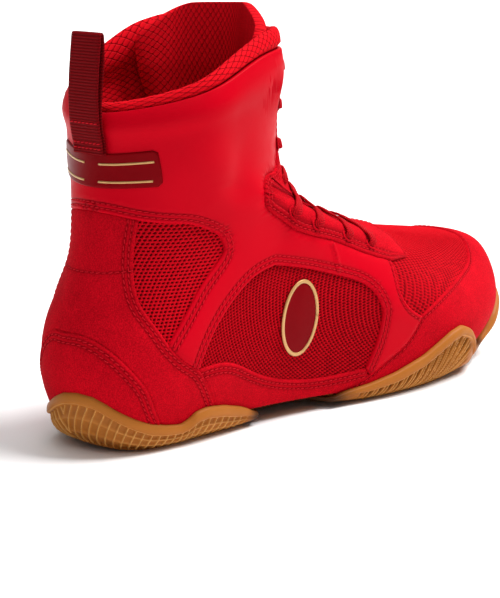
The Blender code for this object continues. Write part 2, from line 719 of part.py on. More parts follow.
def make_tongue():
    points = []
    for level, edge in TONGUE:
        wall = wall_at(min(level, TONGUE_WALL_LEVEL)) + TONGUE_CLEAR
        for share in np.linspace(-1, 1, TONGUE_COLUMNS + 1):
            around = math.copysign(1 - (1 - edge) * abs(share), share)
            points.append(whole_point(around, level, -wall))
    faces = grid_faces(len(TONGUE), TONGUE_COLUMNS + 1)
    item = add_object("tongue", points, faces, RED_MESH, 0.8)
    face_forward(item)
    solidify(item, TONGUE_THICK, outwards=False)


def face_forward(item):
    """Turn an open sheet's faces to the front of the shoe."""
    if sum(p.normal.x * p.area for p in item.data.polygons) < 0:
        item.data.flip_normals()


def make_pull_loop():
    """Webbing folded on itself: both straps are sewn to the back of the quarter, one over the other."""
    half = LOOP_WIDTH / 2
    top = float(level_curve(TOP_LEVEL)[2]) + LOOP_RISE
    inner_lift = 2 * GAP + LEATHER + LOOP_CLEAR + LOOP_THICK
    outer_lift = inner_lift + LOOP_GAP
    levels = np.linspace(LOOP_LOW, LOOP_HIGH, LOOP_ROWS)
    middle_x = back_point(0, LOOP_HIGH, outer_lift)[0]
    columns = []
    for offset in np.linspace(-half, half, LOOP_COLUMNS + 1):
        outer = [back_point(offset, level, outer_lift) for level in levels]
        fold = np.array([LOOP_TOP_X + outer[-1][0] - middle_x, outer[-1][1], top])
        turn = [fold + np.array([x, 0, z]) for x, z in LOOP_TURN]
        inner = [back_point(offset, level, inner_lift) for level in levels[::-1]]
        columns.append(outer + turn + inner)
    rows = len(columns[0])
    points = [columns[c][r] for r in range(rows) for c in range(LOOP_COLUMNS + 1)]
    item = add_object("pull_loop", points, grid_faces(rows, LOOP_COLUMNS + 1), RED_DARK, 0.7)
    if item.data.polygons[0].normal.x > 0:
        item.data.flip_normals()
    solidify(item, LOOP_THICK)


def back_point(offset, level, out):
    """A point near the heel seam, this far to the side and out of the upper."""
    side = math.copysign(1, offset)
    around = bisect(lambda a: abs(skin.at(side * a, level)[0][1]) < abs(offset), 0.0, 0.2)
    point, normal = skin.at(side * around, level)
    return point + out * normal


def top_height(trees, first, point, out):
    """Height over a first point, along out, that clears the highest panel over another point."""
    start = Vector(point + out * LACE_REACH) * MM
    hits = [tree.ray_cast(start, Vector(-out), LACE_REACH * 2 * MM) for tree in trees]
    hit, normal, _, _ = min((h for h in hits if h[0] is not None), key=lambda h: h[3])
    slope = max(np.dot(np.array(normal), out), LACE_STEEPEST)
    return np.dot(np.array(hit) / MM - first, out) + LACE_OVER / slope


def taut_strip(name, trees, start, end, lift):
    """A flat lace pulled straight over what lies between two places; each is a point and its normal."""
    first, last = start[0], end[0]
    length = np.linalg.norm(last - first)
    way = (last - first) / length
    out = start[1] + end[1]
    out = out - np.dot(out, way) * way
    out /= np.linalg.norm(out)
    across = np.cross(out, way) * LACE_WIDTH / 2
    hull = []
    for run in np.linspace(0, length, LACE_SAMPLES + 1):
        spots = [first + way * run + side * across for side in LACE_SIDES]
        spot = np.array((run, max(top_height(trees, first, p, out) for p in spots)))
        while len(hull) > 1 and np.cross(hull[-1] - hull[-2], spot - hull[-2]) >= 0:
            hull.pop()
        hull.append(spot)
    bends = [hull[0]]
    for spot, after in zip(hull[1:], hull[2:]):
        chord = after - bends[-1]
        if abs(np.cross(chord, spot - bends[-1])) > LACE_SAG * np.linalg.norm(chord):
            bends.append(spot)
    bends.append(hull[-1])
    grid = []
    for run, height in bends:
        point = first + way * run + out * (height + lift)
        grid += [point - across, point + across]
    item = add_object(name, grid, grid_faces(len(bends), 2), RED_DARK, 0.8)
    if np.dot(np.array(item.data.polygons[0].normal), out) < 0:
        item.data.flip_normals()
    solidify(item, LACE_THICK)
    return item


def lace_hole(row, side):
    """Point and normal of a lacing row's hole on one side."""
    _, level, hole = row
    point, normal = skin.at(side * hole, level)
    return point + normal * (GAP + SUEDE), normal


def lace_start(low, high, side):
    """Point and normal over the throat, halfway between two lacing rows."""
    level = (low[0] + high[0]) / 2
    point = whole_point(side * LACE_START, level)
    return point, whole_point(side * LACE_START, level, 1) - point


def make_laces():
    """A bar on the lowest row, and above it crossings of two strips, joined where they meet."""
    bpy.context.view_layer.update()
    graph = bpy.context.evaluated_depsgraph_get()
    carriers = ("eyestay", "quarter", "upper", "tongue")
    trees = [BVHTree.FromObject(collection.objects[name], graph) for name in carriers]
    first = LACE_ROWS[0]
    taut_strip("lace_bar", trees, lace_hole(first, -1), lace_hole(first, 1), 0)
    for i, (low, high) in enumerate(zip(LACE_ROWS, LACE_ROWS[1:])):
        name = f"lace_{i + 1}"
        under = taut_strip(name, trees, lace_start(low, high, -1), lace_hole(high, 1), 0)
        over = taut_strip(name + "_over", trees, lace_start(low, high, 1), lace_hole(high, -1), LACE_CROSS)
        join = under.modifiers.new("crossing", "BOOLEAN")
        join.operation = "UNION"
        join.object = over
        over.hide_render = True
        over.display_type = "WIRE"
        collection.objects.unlink(over)
        cutters.objects.link(over)


def settle():
    """Put the origin under the middle of the shoe, on the floor."""
    low, high = np.full(3, 1e9), np.full(3, -1e9)
    bpy.context.view_layer.update()
    graph = bpy.context.evaluated_depsgraph_get()
    for item in collection.objects:
        if item.type != "MESH":
            continue
        mesh = item.evaluated_get(graph).data
        spots = np.array([tuple(item.matrix_world @ v.co) for v in mesh.vertices])
        low, high = np.minimum(low, spots.min(0)), np.maximum(high, spots.max(0))
    root.location = (-(low[0] + high[0]) / 2, -(low[1] + high[1]) / 2, -low[2])


clear_scene()
collection = bpy.data.collections.new(NAME)
cutters = bpy.data.collections.new("cutters")
bpy.context.scene.collection.children.link(collection)
bpy.context.scene.collection.children.link(cutters)
root = bpy.data.objects.new("root", None)
collection.objects.link(root)

skin = Skin()
BED_X, BED_Z = np.array([skin.at(a, 0)[0][[0, 2]] for a in np.linspace(0, 1, 40)]).T

make_upper()
make_sole()
make_insole()
make_tongue()
make_overlays()
make_pull_loop()
make_laces()
settle()
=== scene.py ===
# Looks of the boxing shoe: smooth panels, mesh, stitching, sole tread, laces, light and camera.
# Sizes are millimetres in the shoe's own frame: x from the heel, y to the medial side, z up.
import math

import bmesh
import bpy
import numpy as np
from mathutils import Matrix, Vector
from mathutils.bvhtree import BVHTree
from mathutils.geometry import delaunay_2d_cdt
from mathutils.kdtree import KDTree


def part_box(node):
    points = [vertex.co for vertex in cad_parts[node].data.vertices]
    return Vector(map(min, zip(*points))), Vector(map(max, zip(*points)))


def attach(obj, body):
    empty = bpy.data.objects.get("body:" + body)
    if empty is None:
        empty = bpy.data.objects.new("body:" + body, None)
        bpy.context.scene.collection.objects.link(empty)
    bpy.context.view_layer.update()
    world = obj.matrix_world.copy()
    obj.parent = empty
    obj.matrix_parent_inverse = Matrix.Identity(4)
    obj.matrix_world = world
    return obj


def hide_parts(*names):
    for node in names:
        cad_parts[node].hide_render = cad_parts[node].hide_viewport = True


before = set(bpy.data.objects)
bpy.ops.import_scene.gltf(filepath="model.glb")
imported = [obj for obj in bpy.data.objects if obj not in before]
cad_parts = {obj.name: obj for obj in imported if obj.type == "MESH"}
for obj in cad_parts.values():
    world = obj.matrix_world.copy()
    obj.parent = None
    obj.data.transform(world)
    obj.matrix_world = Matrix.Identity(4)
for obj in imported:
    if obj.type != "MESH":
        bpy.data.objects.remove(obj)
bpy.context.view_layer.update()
MM = 0.001

# The last, as in the solids: tilted plan sections from the feather line (level 0) to the collar (level 8).
LEVEL_COLUMNS = "back front z_back z_mid z_fore z_front heel mid fore toe"
LEVELS = {
    "feather": (7.0, 281, 9, 6.5, 6, 16, 27, 31, 43, 30),
    "wall": (0.0, 288, 30, 31, 25, 32, 33.5, 36, 48, 36),
    "crown": (2.0, 285, 52, 54, 44, 49, 33.5, 37.5, 45, 30),
    "vamp": (9.0, 261, 74, 77, 64, 60, 31, 34.5, 30, 20),
    "throat": (15.0, 190, 94, 97, 82, 72, 29, 34.5, 25, 15),
    "instep": (18.0, 133, 109, 113, 102, 89, 28.5, 36, 26, 15),
    "ankle": (18.5, 114, 121, 129, 125, 114, 28, 37.5, 29.5, 17),
    "shaft": (19.0, 110, 132, 144, 148, 145, 28, 39.5, 33, 20),
    "collar": (20.0, 112, 143, 161, 170, 172, 28.5, 41, 35, 22),
}
WIDTH_AT = (0.12, 0.42, 0.70, 0.90)
HEEL_ROUND = 0.95
TOE_ROUND = 0.80
FULL_LENGTH = 288.0
TOP_LEVEL = 8.0
STRAIGHT_STEP = 0.2
SWING = ((0, 0), (60, 0), (120, -2), (190, 0), (240, 5), (290, 12))
THROAT_START = 4.45
THROAT_FULL = 5.0
THROAT_HALF = 11.0
THROAT_POWER = 3
THROAT_SEARCH = (1.0, 0.3, 1400)
SOLID_COLUMNS = 32
SOLID_WAIST_LEVELS = (0.5, 1.1, 1.7)

# Wall of the upper and the padded roll of its collar.
WALL_BY_LEVEL = ((0, 2.4), (6.0, 2.4), (6.8, 3.8), (7.3, 5.2), (7.72, 5.4))
ROLL_LEVEL = 7.70
ROLL_RISE = 0.30
# More height of the roll in millimetres: all round, and on the medial side in front of a place around.
ROLL_MORE = 1.2
ROLL_MEDIAL, ROLL_MEDIAL_FROM, ROLL_MEDIAL_TO = 4.5, (0.2, 0.4), (0.95, 0.7)
LEVEL_HEIGHT = 21.0
CLOTH_AROUND = 130.0
ROLL_OUT = 1.5
ROLL_IN = -5.4
ROLL_STEPS, ROLL_END, ROLL_FADE = 13, 0.9, 0.3
UPPER_COLUMNS, UPPER_ROWS = 281, (34, 40)
# The upper's outer face lies this far under the mesh, and gets painted shade of this share for lying under
# it.
UPPER_SUNK, UPPER_SHADE = 0.25, 0.35

# Soft creases and ridges: from, to (around, level), half width, height; each is made on both sides.
CREASES = (
    ((0.447, 3.02), (0.452, 2.48), 0.9, 0.7),
    ((0.30, 4.70), (0.37, 3.30), 9.0, -1.0),
    ((0.33, 5.60), (0.30, 4.70), 8.0, -0.7),
    ((0.20, 5.10), (0.30, 4.55), 6.0, -0.5),
    ((0.24, 4.35), (0.33, 3.85), 5.0, 0.5),
    ((0.05, 2.60), (0.13, 2.30), 7.0, -0.5),
    ((0.60, 2.55), (0.80, 3.05), 5.0, -0.6),
    ((0.56, 2.95), (0.70, 3.45), 5.0, -0.5),
    ((0.54, 1.15), (0.60, 1.45), 6.0, -0.5),
)
# A hollow beside the heel cord on the medial side: place around, level, half widths, depth.
HEEL_HOLLOW = (0.11, 3.15, 0.09, 0.75, 3.0)
# Collar padding: height, level, half width; the tuck over it: depth, level, way; less at the throat.
COLLAR_PUFF, COLLAR_PUFF_LEVEL, COLLAR_PUFF_HALF = 2.0, 7.15, 0.42
COLLAR_TUCK, COLLAR_TUCK_LEVEL, COLLAR_TUCK_WAY = 0.8, 7.45, 0.25
PUFF_LEAST, PUFF_END, PUFF_FADE = 0.35, 0.97, 0.25
CREASE_POINTS = 15
# Creases finer than this get rows of points of their own in the panels, side by side around.
FINE_CREASE = 2
FINE_CREASE_POINTS = 20
CREASE_SHIFTS = (-0.008, -0.006, -0.004, -0.002, 0.0, 0.002, 0.004, 0.006, 0.008)

# Pattern lines on one side of the upper: (around, level); around runs 0 at the heel to 1 at the toe.
CUFF_EDGE = ((0, 4.32), (0.05, 4.27), (0.092, 4.15), (0.158, 3.96), (0.209, 3.82), (0.243, 3.62),
             (0.268, 3.38), (0.274, 3.16), (0.268, 2.98), (0.245, 2.63), (0.227, 2.24), (0.199, 1.68))
ACHILLES_EDGE = ((0.11, 4.10), (0.11, 3.62), (0.115, 3.19), (0.126, 2.79), (0.143, 2.45),
                 (0.168, 2.12), (0.199, 1.68))
COUNTER_EDGE = ((0.199, 1.68), (0.225, 1.36), (0.252, 1.09), (0.263, 0.88), (0.273, 0.59), (0.281, 0.30))
STRAP_FOOT = ((0.199, 1.68), (0.225, 1.36), (0.252, 1.09))
WINDOW_BACK = ((0.252, 1.09), (0.268, 1.57), (0.291, 2.05), (0.311, 2.34), (0.334, 2.57), (0.36, 2.68))
WINDOW_TOP = ((0.36, 2.68), (0.421, 2.50), (0.457, 2.37), (0.487, 2.23), (0.503, 2.04), (0.514, 1.70))
WINDOW_FRONT = ((0.514, 1.70), (0.511, 1.04), (0.498, 0.46))
WINDOW_FOOT = ((0.498, 0.46), (0.432, 0.38), (0.388, 0.48), (0.344, 0.75), (0.299, 1.08), (0.252, 1.09))
RAND_EDGE_LOW = ((0.46, 0.05), (0.498, 0.28), (0.534, 0.69), (0.551, 0.93), (0.569, 1.55))
RAND_EDGE_HIGH = ((0.569, 1.55), (0.597, 1.86), (0.646, 2.12), (0.702, 2.24), (0.766, 2.44),
                  (0.80, 2.65), (0.85, 2.90), (0.92, 3.08), (1, 3.12))
RAND_TIP, RAND_TIP_LAP = 0.475, 0.02
# Place around where the quarter's strap ends on the toe rand's edge.
STRAP_END = 0.501
VAMP_EDGE = ((0.569, 1.55), (0.548, 1.78), (0.538, 2.08), (0.538, 2.40), (0.541, 2.70))
EYESTAY_EDGE = ((0.541, 2.70), (0.498, 2.85), (0.447, 3.13), (0.396, 3.35), (0.363, 3.75),
                (0.355, 4.33), (0.405, 4.95), (0.555, 5.50), (0.69, 6.10), (0.74, 6.90), (0.75, 7.68))
EYESTAY_TIP = (0.584, 2.81)
EYESTAY_FRONT_X = 179.0
EYESTAY_FRONT_START, EYESTAY_FRONT_STEPS, EYESTAY_FRONT_LEVEL = 0.012, 44, 2.0
COLLAR_EDGE_LEVEL = 7.68
COLLAR_STEPS, SLIT_STEPS, RIM_STEPS = 60, 70, 10
PATCH_EDGE = ((0, 1.94), (0.042, 1.94), (0.082, 1.80), (0.118, 1.54), (0.144, 1.25), (0.163, 0.96),
              (0.174, 0.56), (0.182, 0.20))
# The patch's arch is narrower by this share on the medial side, up to a place around, between these levels.
PATCH_NARROW, PATCH_SIDE = 0.33, 0.19
PATCH_LEVELS, PATCH_FADES = (0.3, 2.8), (1.0, 0.7)
COUNTER_SEAM = ((0.0, 3.06), (0.05, 3.06), (0.118, 3.09))
PLATE_EDGE = ((0, 6.22), (0.118, 6.22), (0.127, 6.12), (0.138, 5.12), (0.132, 5.0), (0, 5.02))
PLATE_LINE = ((0.02, 5.22), (0.06, 5.21), (0.122, 5.20))
BADGE_CENTRE = (0.404, 1.62)
BADGE_HALF = (11.0, 17.0)
LINE_STEP = 1.8
LINE_PARTS = 6
SAME_PLACE = 1e-4
WEAVE_PITCH, WEAVE_LEAN = 3.9, 1.2
UNDERLAP = 3.0
SLIT, SLIT_END = 0.003, 0.02
CUFF_CLEAR = 0.004
# Near the sole: millimetres in one unit around, how far panels go behind its edge, their lowest level.
AROUND_LENGTH = 330.0
SOLE_LAP, LOWEST_LEVEL = 2.5, 0.02

# Height of each panel's face over the last.
HEIGHT = {"quarter": 1.9, "counter": 1.6, "patch": 2.3, "rand": 1.5, "toe": 1.1, "eyestay": 2.5}
# A panel's back over the last, puff of its middle and the way over which it rises, spacing of its points.
PANEL_BASE, PANEL_PUFF, PUFF_WAY, PANEL_SPACING = 0.05, 0.2, 7.0, 1.8
# A hidden edge sinks to this height, from this far outside the line and over this way.
LAP_HEIGHT, LAP_START, LAP_WAY = 0.7, 1.0, 1.6
# Edge radius, and how far in from the edge the stitch rows lie.
EDGE_RADIUS = 0.8
DOUBLE_ROW = (2.0, 4.1)
SINGLE_ROW = (2.0,)
SEAM_ROW = (0.0,)
EDGE_RINGS = (0.2, 0.5, 0.9, 1.3, 3.0, 5.4)
# Shares of a ring's distance and of the grid's spacing that points keep clear of the edge.
RING_CLEAR, GRID_CLEAR = 0.9, 0.4
SEAM_RINGS = (-1.15, -0.55, 0, 0.55, 1.15)
LAP_RINGS = (-0.6, 0, 0.6, 1.2, 1.8)
SEAM_STEP = 1.0
GROOVE_DEPTH = 0.3
GROOVE_WIDTH = 0.5
STITCH_PITCH = 2.7
STITCH_LENGTH = 2.1
STITCH_WIDTH = 0.62
STITCH_THICK = 0.2604
STITCH_SLANT, STITCH_SINK, STITCH_NEAR = 0.12, 0.10, 0.3
# Arch of a stitch over the leather, and how fast it falls to the ends.
STITCH_ARCH, STITCH_BOW = 0.22, 1.6
# Rings of a stitch: place along it and size.
STITCH_RINGS = ((-0.5, 0.25), (-0.3, 0.85), (0.3, 0.85), (0.5, 0.25))
STITCH_SIDES = 5

# Mesh of each window: pitch, half sizes of its holes, spacing of its points, depth, lean, painted shade in
# its holes.
MESH = {
    "ankle": {"pitch": (2.45, 3.0), "oval": (0.78, 0.46), "spacing": 0.36, "depth": 0.6, "lean": 0.82},
    "side": {"pitch": (2.05, 2.05), "oval": (0.60, 0.50), "spacing": 0.335, "depth": 0.6, "hole_shade": 0.85},
    "vamp": {"pitch": (2.5, 2.8), "oval": (0.80, 0.58), "spacing": 0.53, "depth": 0.45, "hole_shade": 0.9},
}
SIDE_MESH_TURN = 20
HOLE_REACH, HOLE_EDGE = 1.25, 0.5
MESH_COLUMNS = 9

# Top edge of the sole by place around: height over the floor. There is no cup where it lies below the last.
SOLE_EDGE = ((0, 28.0), (0.035, 27.0), (0.06, 24.5), (0.09, 20.5), (0.12, 17), (0.15, 14), (0.18, 12.2),
             (0.212, 11), (0.228, 12.6), (0.242, 15.4), (0.262, 16.4), (0.293, 15), (0.322, 12),
             (0.342, 8.6), (0.358, 6), (0.37, 4), (0.43, 4), (0.45, 6), (0.47, 7.6), (0.50, 9), (0.536, 12),
             (0.577, 17.6), (0.598, 22), (0.620, 26.4), (0.640, 27.9), (0.660, 25.2), (0.680, 19.2),
             (0.692, 13.5), (0.714, 10.5), (0.76, 11), (0.785, 15), (0.81, 22), (0.85, 28.5), (0.90, 32.5),
             (0.95, 35.5), (1, 36.5))
SOLE_EDGE_SAMPLES, SOLE_EDGE_BLUR = 4401, 41
SOLE_UNDER = ((-6, 7), (4, 3.2), (14, 0.8), (24, 0), (50, 0), (74, 0), (92, 2.4), (108, 3), (126, 2.2),
              (148, 0), (180, 0), (212, 0), (236, 2.0), (262, 7.5), (280, 13.5), (296, 20))
# Side of the cup from its lip down: share of its height left, share of its way in.
CUP_SIDE = ((1.0, 0.72), (1.012, 0.86), (0.985, 0.99), (0.92, 1.05), (0.80, 1.08), (0.70, 1.08),
            (0.655, 1.05), (0.63, 0.97), (0.60, 0.935), (0.50, 0.915), (0.40, 0.87), (0.30, 0.78),
            (0.20, 0.64), (0.11, 0.43), (0.045, 0.20), (0.01, 0.06), (0, 0))
# Steps down the smooth band, which ends at this row of the table, and down the ribs below it.
CUP_BAND_END = 7
CUP_BAND_STEPS, CUP_RIB_STEPS = 12, 34
# No part of the cup's edge lies over this level.
CUP_HIGHEST = 3.2
CUP_OUT = 2.9
CUP_IN = 0.3
CUP_FADE = 0.12
UNDER_INSET = 3.5
WAIST_INSET = 9.0
# Where there is no cup, the sole's edge lies this far under the last; its bed lies inside the last's edge.
WAIST_DROP = 0.35
BED_DROP, BED_INSET, BED_SPINE_DROP = 0.3, 0.6, 0.4
# Ribs of heel and ball: pitch, lean for each millimetre down, depth.
HEEL_RIBS = (4.0, 0.45, 1.0)
BALL_RIBS = (6.4, 0.8, 2.8)
# Share of the side's height where ribs end, the way over which they fade, and how they tilt at its foot.
RIB_TOP, RIB_MARGIN, RIB_FADE, RIB_TILT = 0.63, 0.01, 0.03, 0.7
# Where heel and ball are ribbed, by place around: each limit and the way over which the ribs begin or end.
HEEL_ZONE_END = (0.345, 0.02)
BALL_ZONE = ((0.475, 0.03), (0.678, 0.02))
# Half widths of the heel's strands and the cross ribs, the latter's share; slope and slit of the ball's ribs.
HEEL_STRAND, CROSS_STRAND, CROSS_SHARE = 0.42, 0.34, 0.8
BALL_SLOPE, BALL_SLIT, BALL_SLIT_SHARE = 1.9, 0.6, 0.5
CROSS_RIBS = (0.42, 0.21)
# Bead over the ribs: how far over their top, half width, height.
BEAD_OVER, BEAD_HALF, BEAD_HEIGHT = 0.008, 0.014, 0.3
# Painted shade between ribs (more is darker) and painted highlight on their crests, for heel and ball, and of
# the bead.
HEEL_SHADE, HEEL_HIGHLIGHT, BALL_SHADE, BALL_HIGHLIGHT, BEAD_HIGHLIGHT = 0.12, 0.7, 2.6, 0.6, 0.6
BAND_HEIGHT = 4.6
# The top edge's heel peak lies a little to the lateral side.
HEEL_TURN, HEEL_TURN_WAY = 0.042, 0.15
SOLE_STATIONS = 800
UNDER_STEPS = 9
# Tread below: pitch, slant of its chevrons in pitches, depth, painted shade in its grooves; its cut, slope
# and margins.
TREAD_PITCH, TREAD_SLANT, TREAD_DEPTH, TREAD_SHADE = 7.5, 1.3, 1.0, 0.6
TREAD_CUT, TREAD_SLOPE, TREAD_MARGIN, TREAD_EDGE, TREAD_MIDDLE = 0.1, 0.5, 0.1, 6, 9
SPINE_SHARE = 0.84

# Tongue: level, place around of its edges.
TONGUE = ((4.0, 0.72), (4.4, 0.65), (4.8, 0.58), (5.3, 0.51), (6.0, 0.44), (6.8, 0.385), (7.5, 0.36),
          (8.0, 0.36), (8.2, 0.40), (8.3, 0.48), (8.36, 0.60))
TONGUE_ROWS, TONGUE_COLUMNS = 90, 81
TONGUE_THICK = 5.0
TONGUE_CLEAR = 0.8
# Its top falls away to the lateral side by levels over a way around, and it swells between the lace rows.
TONGUE_FALL, TONGUE_FALL_WAY, TONGUE_FALL_POWER = 0.38, 0.4, 1.6
TONGUE_FALL_FROM, TONGUE_FALL_RISE = 7.0, 1.2
TONGUE_SWELL, TONGUE_SWELL_HALF = 0.8, 8.0
TONGUE_SWELL_END, TONGUE_SWELL_FADE = 7.9, 0.6
# How fast it thins towards its edges and its top, and its least share of thickness squared.
TONGUE_ROUND, TONGUE_TOP_ROUND, TONGUE_LEAST = 9, 3, 0.02

# Roundness of a tape's faces.
TAPE_POWER = 0.8

# Pull loop at the back of the collar: webbing folded into two straps that are sewn to the quarter.
LOOP_WIDTH = 18.0
LOOP_THICK = 1.2
LOOP_GAP, LOOP_CLEAR = 0.3, 0.15
LOOP_STEP = 0.6
LOOP_RISE = 29.6
LOOP_TOP_X = 14.6
LOOP_LOW, LOOP_HIGH = 6.2, 7.1
# The fold at its top, forward and up from its middle, and its stitch rows from its lower end.
LOOP_TURN = ((-0.75, -1.3), (-0.45, -0.3), (0, 0), (0.45, -0.3), (0.75, -1.3))
LOOP_SEAMS = (2.5, 5.0, 13.0)
LOOP_SEAM_STITCHES, LOOP_SEAM_HALF = 7, 0.4

# Back plate: face over the quarter, how far it sinks in, edge radius, spacing; its gold lines.
PLATE_FACE, PLATE_SINK, PLATE_RADIUS, PLATE_SPACING = 0.9, 0.6, 0.6, 2.4
PLATE_LINE_OVER, PLATE_LINE_STEP, PLATE_LINE_GAP, PLATE_LINE_SIZE = 0.95, 1.5, 0.62, (0.9, 0.4)
PLATE_PARTS = 12
# Badge: face over the last, puff, edge radius, spacing; its gold rim: inset, height, width and thickness.
BADGE_FACE, BADGE_PUFF, BADGE_RADIUS, BADGE_SPACING = 1.3, 0.5, 0.5, 2
BADGE_RIM_INSET, BADGE_RIM_OVER, BADGE_RIM_SIZE = 1.0, 1.35, (1.7, 0.7)
BADGE_CORNERS = 72

# Lacing rows, lowest first: level where the row crosses the middle, then level and place around of its holes.
LACE_ROWS = ((4.62, 3.13, 0.521), (4.86, 3.32, 0.485), (5.12, 3.59, 0.437), (5.45, 3.90, 0.404),
             (5.86, 5.40, 0.65), (6.33, 6.10, 0.74), (6.92, 6.75, 0.79), (7.47, 7.35, 0.81))
LACE_START = 0.86
LACE_WIDTH = 4.4
LACE_THICK = 1.25
LACE_OVER = 0.15
# Share of the way from the ground up to a taut lace.
LACE_TAUT = 0.12
# Way from its start over which a lace that crosses another comes down again.
LACE_CROSSING = (7.0, 9.0)
LACE_SIDES = (-1, -0.5, 0, 0.5, 1)
LACE_SAMPLES = 40
LACE_REACH = 70.0
LACE_STEEPEST = 0.35
LACE_STEPS, LACE_STEP = 60, 1.0
# Half widths in steps of the two passes that smooth a lace's route.
LACE_SMOOTH = (5, 3)
# A lace's end goes down its hole through these places: out of the panel, and on along the lace.
LACE_DIVE = ((0.5, 1.6), (-0.8, 2.2), (-3.0, 2.2))
# Eyelet: rings of hole and rim (size and height), half sizes along and across, place of its middle, sides.
EYELET_RINGS = ((0.0, -0.12), (1.0, -0.10), (1.25, 0.12), (1.5, 0.16), (1.8, -0.2))
EYELET_HALF = (1.5, 1.9)
EYELET_AHEAD, EYELET_OVER, EYELET_SIDES = 1.4, 0.30, 28

# Camera, fitted to the photograph's lines: 500 by 598 pixels.
PHOTO_WIDTH, PHOTO_HEIGHT = 500, 598
FOCAL_PIXELS = 1758.5
AXIS_PIXEL = (280.0, 213.1)
CAMERA_TARGET = (130.0, 0.0, 85.0)
CAMERA_DISTANCE = 807.6
CAMERA_AZIMUTH = -47.4
CAMERA_ELEVATION = 9.65
CAMERA_ROLL = 0.5

SENSOR_WIDTH = 36.0

# Lights: name, azimuth (0 lateral, 90 toe), elevation, spread in degrees, strength.
LIGHTS = (("key", 57, 60, 30, 4.7), ("fill", -50, 60, 40, 0.6), ("top", 110, 75, 50, 0.8))
# The backdrop's side, and its range of facing and of brightness.
BACKDROP_WAY = (0.73, 0.68, 0.0)
BACKDROP_RANGE = (-0.15, 0.5, 0.16, 0.5)
FLOOR_HALF, FLOOR_WHITE = 4.0, (0.92, 0.92, 0.92)

# Colours, and how much painted shade the stitch grooves get.
SEAM_SHADE = 0.42
RED_LEATHER = (0.50, 0.001, 0.009)
RED_SUEDE = (0.48, 0.002, 0.009)
RED_YARN = (0.50, 0.002, 0.008)
# Painted shade for the holes of the mesh and of the eyelets.
RED_PAINTED_SHADE = (0.075, 0.0006, 0.002)
RED_LINING = (0.66, 0.003, 0.010)
RED_WEBBING = (0.17, 0.001, 0.003)
RED_LACE = (0.46, 0.002, 0.008)
RED_THREAD = (0.50, 0.006, 0.014)
RED_PLATE = (0.175, 0.0008, 0.003)
GOLD = (0.52, 0.29, 0.10)
GUM = (0.36, 0.118, 0.016)
# Painted shade in the sole's grooves and under the waist, and painted highlight on its crests.
GUM_SHADE = (0.045, 0.013, 0.002)
GUM_HIGHLIGHT = (0.70, 0.36, 0.10)


def smooth_step(value):
    value = np.clip(value, 0, 1)
    return value * value * (3 - 2 * value)


def bell(value):
    return np.exp(-value * value)


def unit(vectors):
    return vectors / np.maximum(np.linalg.norm(vectors, axis=-1, keepdims=True), 1e-12)


def run_along(points):
    """How far along a path each of its points lies."""
    return np.concatenate([[0], np.cumsum(np.linalg.norm(np.diff(points, axis=0), axis=1))])


def way_from(azimuth, elevation):
    """Direction from the shoe to a place; azimuth 0 is the lateral side, 90 the toe."""
    a, e = math.radians(azimuth), math.radians(elevation)
    return Vector((math.sin(a) * math.cos(e), -math.cos(a) * math.cos(e), math.sin(e)))


def add_object(name, data):
    """A new object in the scene."""
    made = bpy.data.objects.new(name, data)
    bpy.context.scene.collection.objects.link(made)
    return made


def grid_faces(rows, columns):
    """Faces between the rows of a grid of points."""
    return [(a, a + 1, a + columns + 1, a + columns)
            for r in range(rows - 1) for a in range(r * columns, (r + 1) * columns - 1)]


def tube_faces(rings, sides):
    """Faces between closed rings of points."""
    faces = []
    for first in range(0, (rings - 1) * sides, sides):
        for k in range(sides):
            a, b = first + k, first + (k + 1) % sides
            faces.append((a, b, b + sides, a + sides))
    return faces


def capped_tube(rings, sides):
    """Faces of a tube with closed ends."""
    ends = [tuple(range(sides))[::-1], tuple(range((rings - 1) * sides, rings * sides))]
    return tube_faces(rings, sides) + ends


def spline(xs, ys):
    """Natural cubic curve through rows of numbers; ys may have several columns."""
    xs = np.asarray(xs, float)
    ys = np.asarray(ys, float)
    count = len(xs)
    step = np.diff(xs)
    matrix = np.eye(count)
    right = np.zeros_like(ys)
    for i in range(1, count - 1):
        matrix[i, i - 1:i + 2] = step[i - 1], 2 * (step[i - 1] + step[i]), step[i]
        right[i] = 6 * ((ys[i + 1] - ys[i]) / step[i] - (ys[i] - ys[i - 1]) / step[i - 1])
    bend = np.linalg.solve(matrix, right)

    def value(q):
        q = np.asarray(q, float)
        k = np.clip(np.searchsorted(xs, q) - 1, 0, count - 2)
        a = (xs[k + 1] - q) / step[k]
        b = (q - xs[k]) / step[k]
        h = step[k]
        if ys.ndim > 1:
            a, b, h = a[..., None], b[..., None], h[..., None]
        return a * ys[k] + b * ys[k + 1] + ((a**3 - a) * bend[k] + (b**3 - b) * bend[k + 1]) * h**2 / 6

    return value


def by_table(table):
    """Straight interpolation in a table of pairs."""
    xs, ys = np.array(table, float).T
    return lambda q: np.interp(q, xs, ys)


level_curve = spline(np.arange(len(LEVELS)), np.array(list(LEVELS.values()), float))
swing_at = spline(*np.array(SWING, float).T)
wall_at = by_table(WALL_BY_LEVEL)
sole_under_at = by_table(SOLE_UNDER)


def level_row(level):
    """The last's sizes at a level; above the collar it runs on straight."""
    if level <= TOP_LEVEL:
        return level_curve(level)
    slope = (level_curve(TOP_LEVEL) - level_curve(TOP_LEVEL - STRAIGHT_STEP)) / STRAIGHT_STEP
    return level_curve(TOP_LEVEL) + slope * (level - TOP_LEVEL)


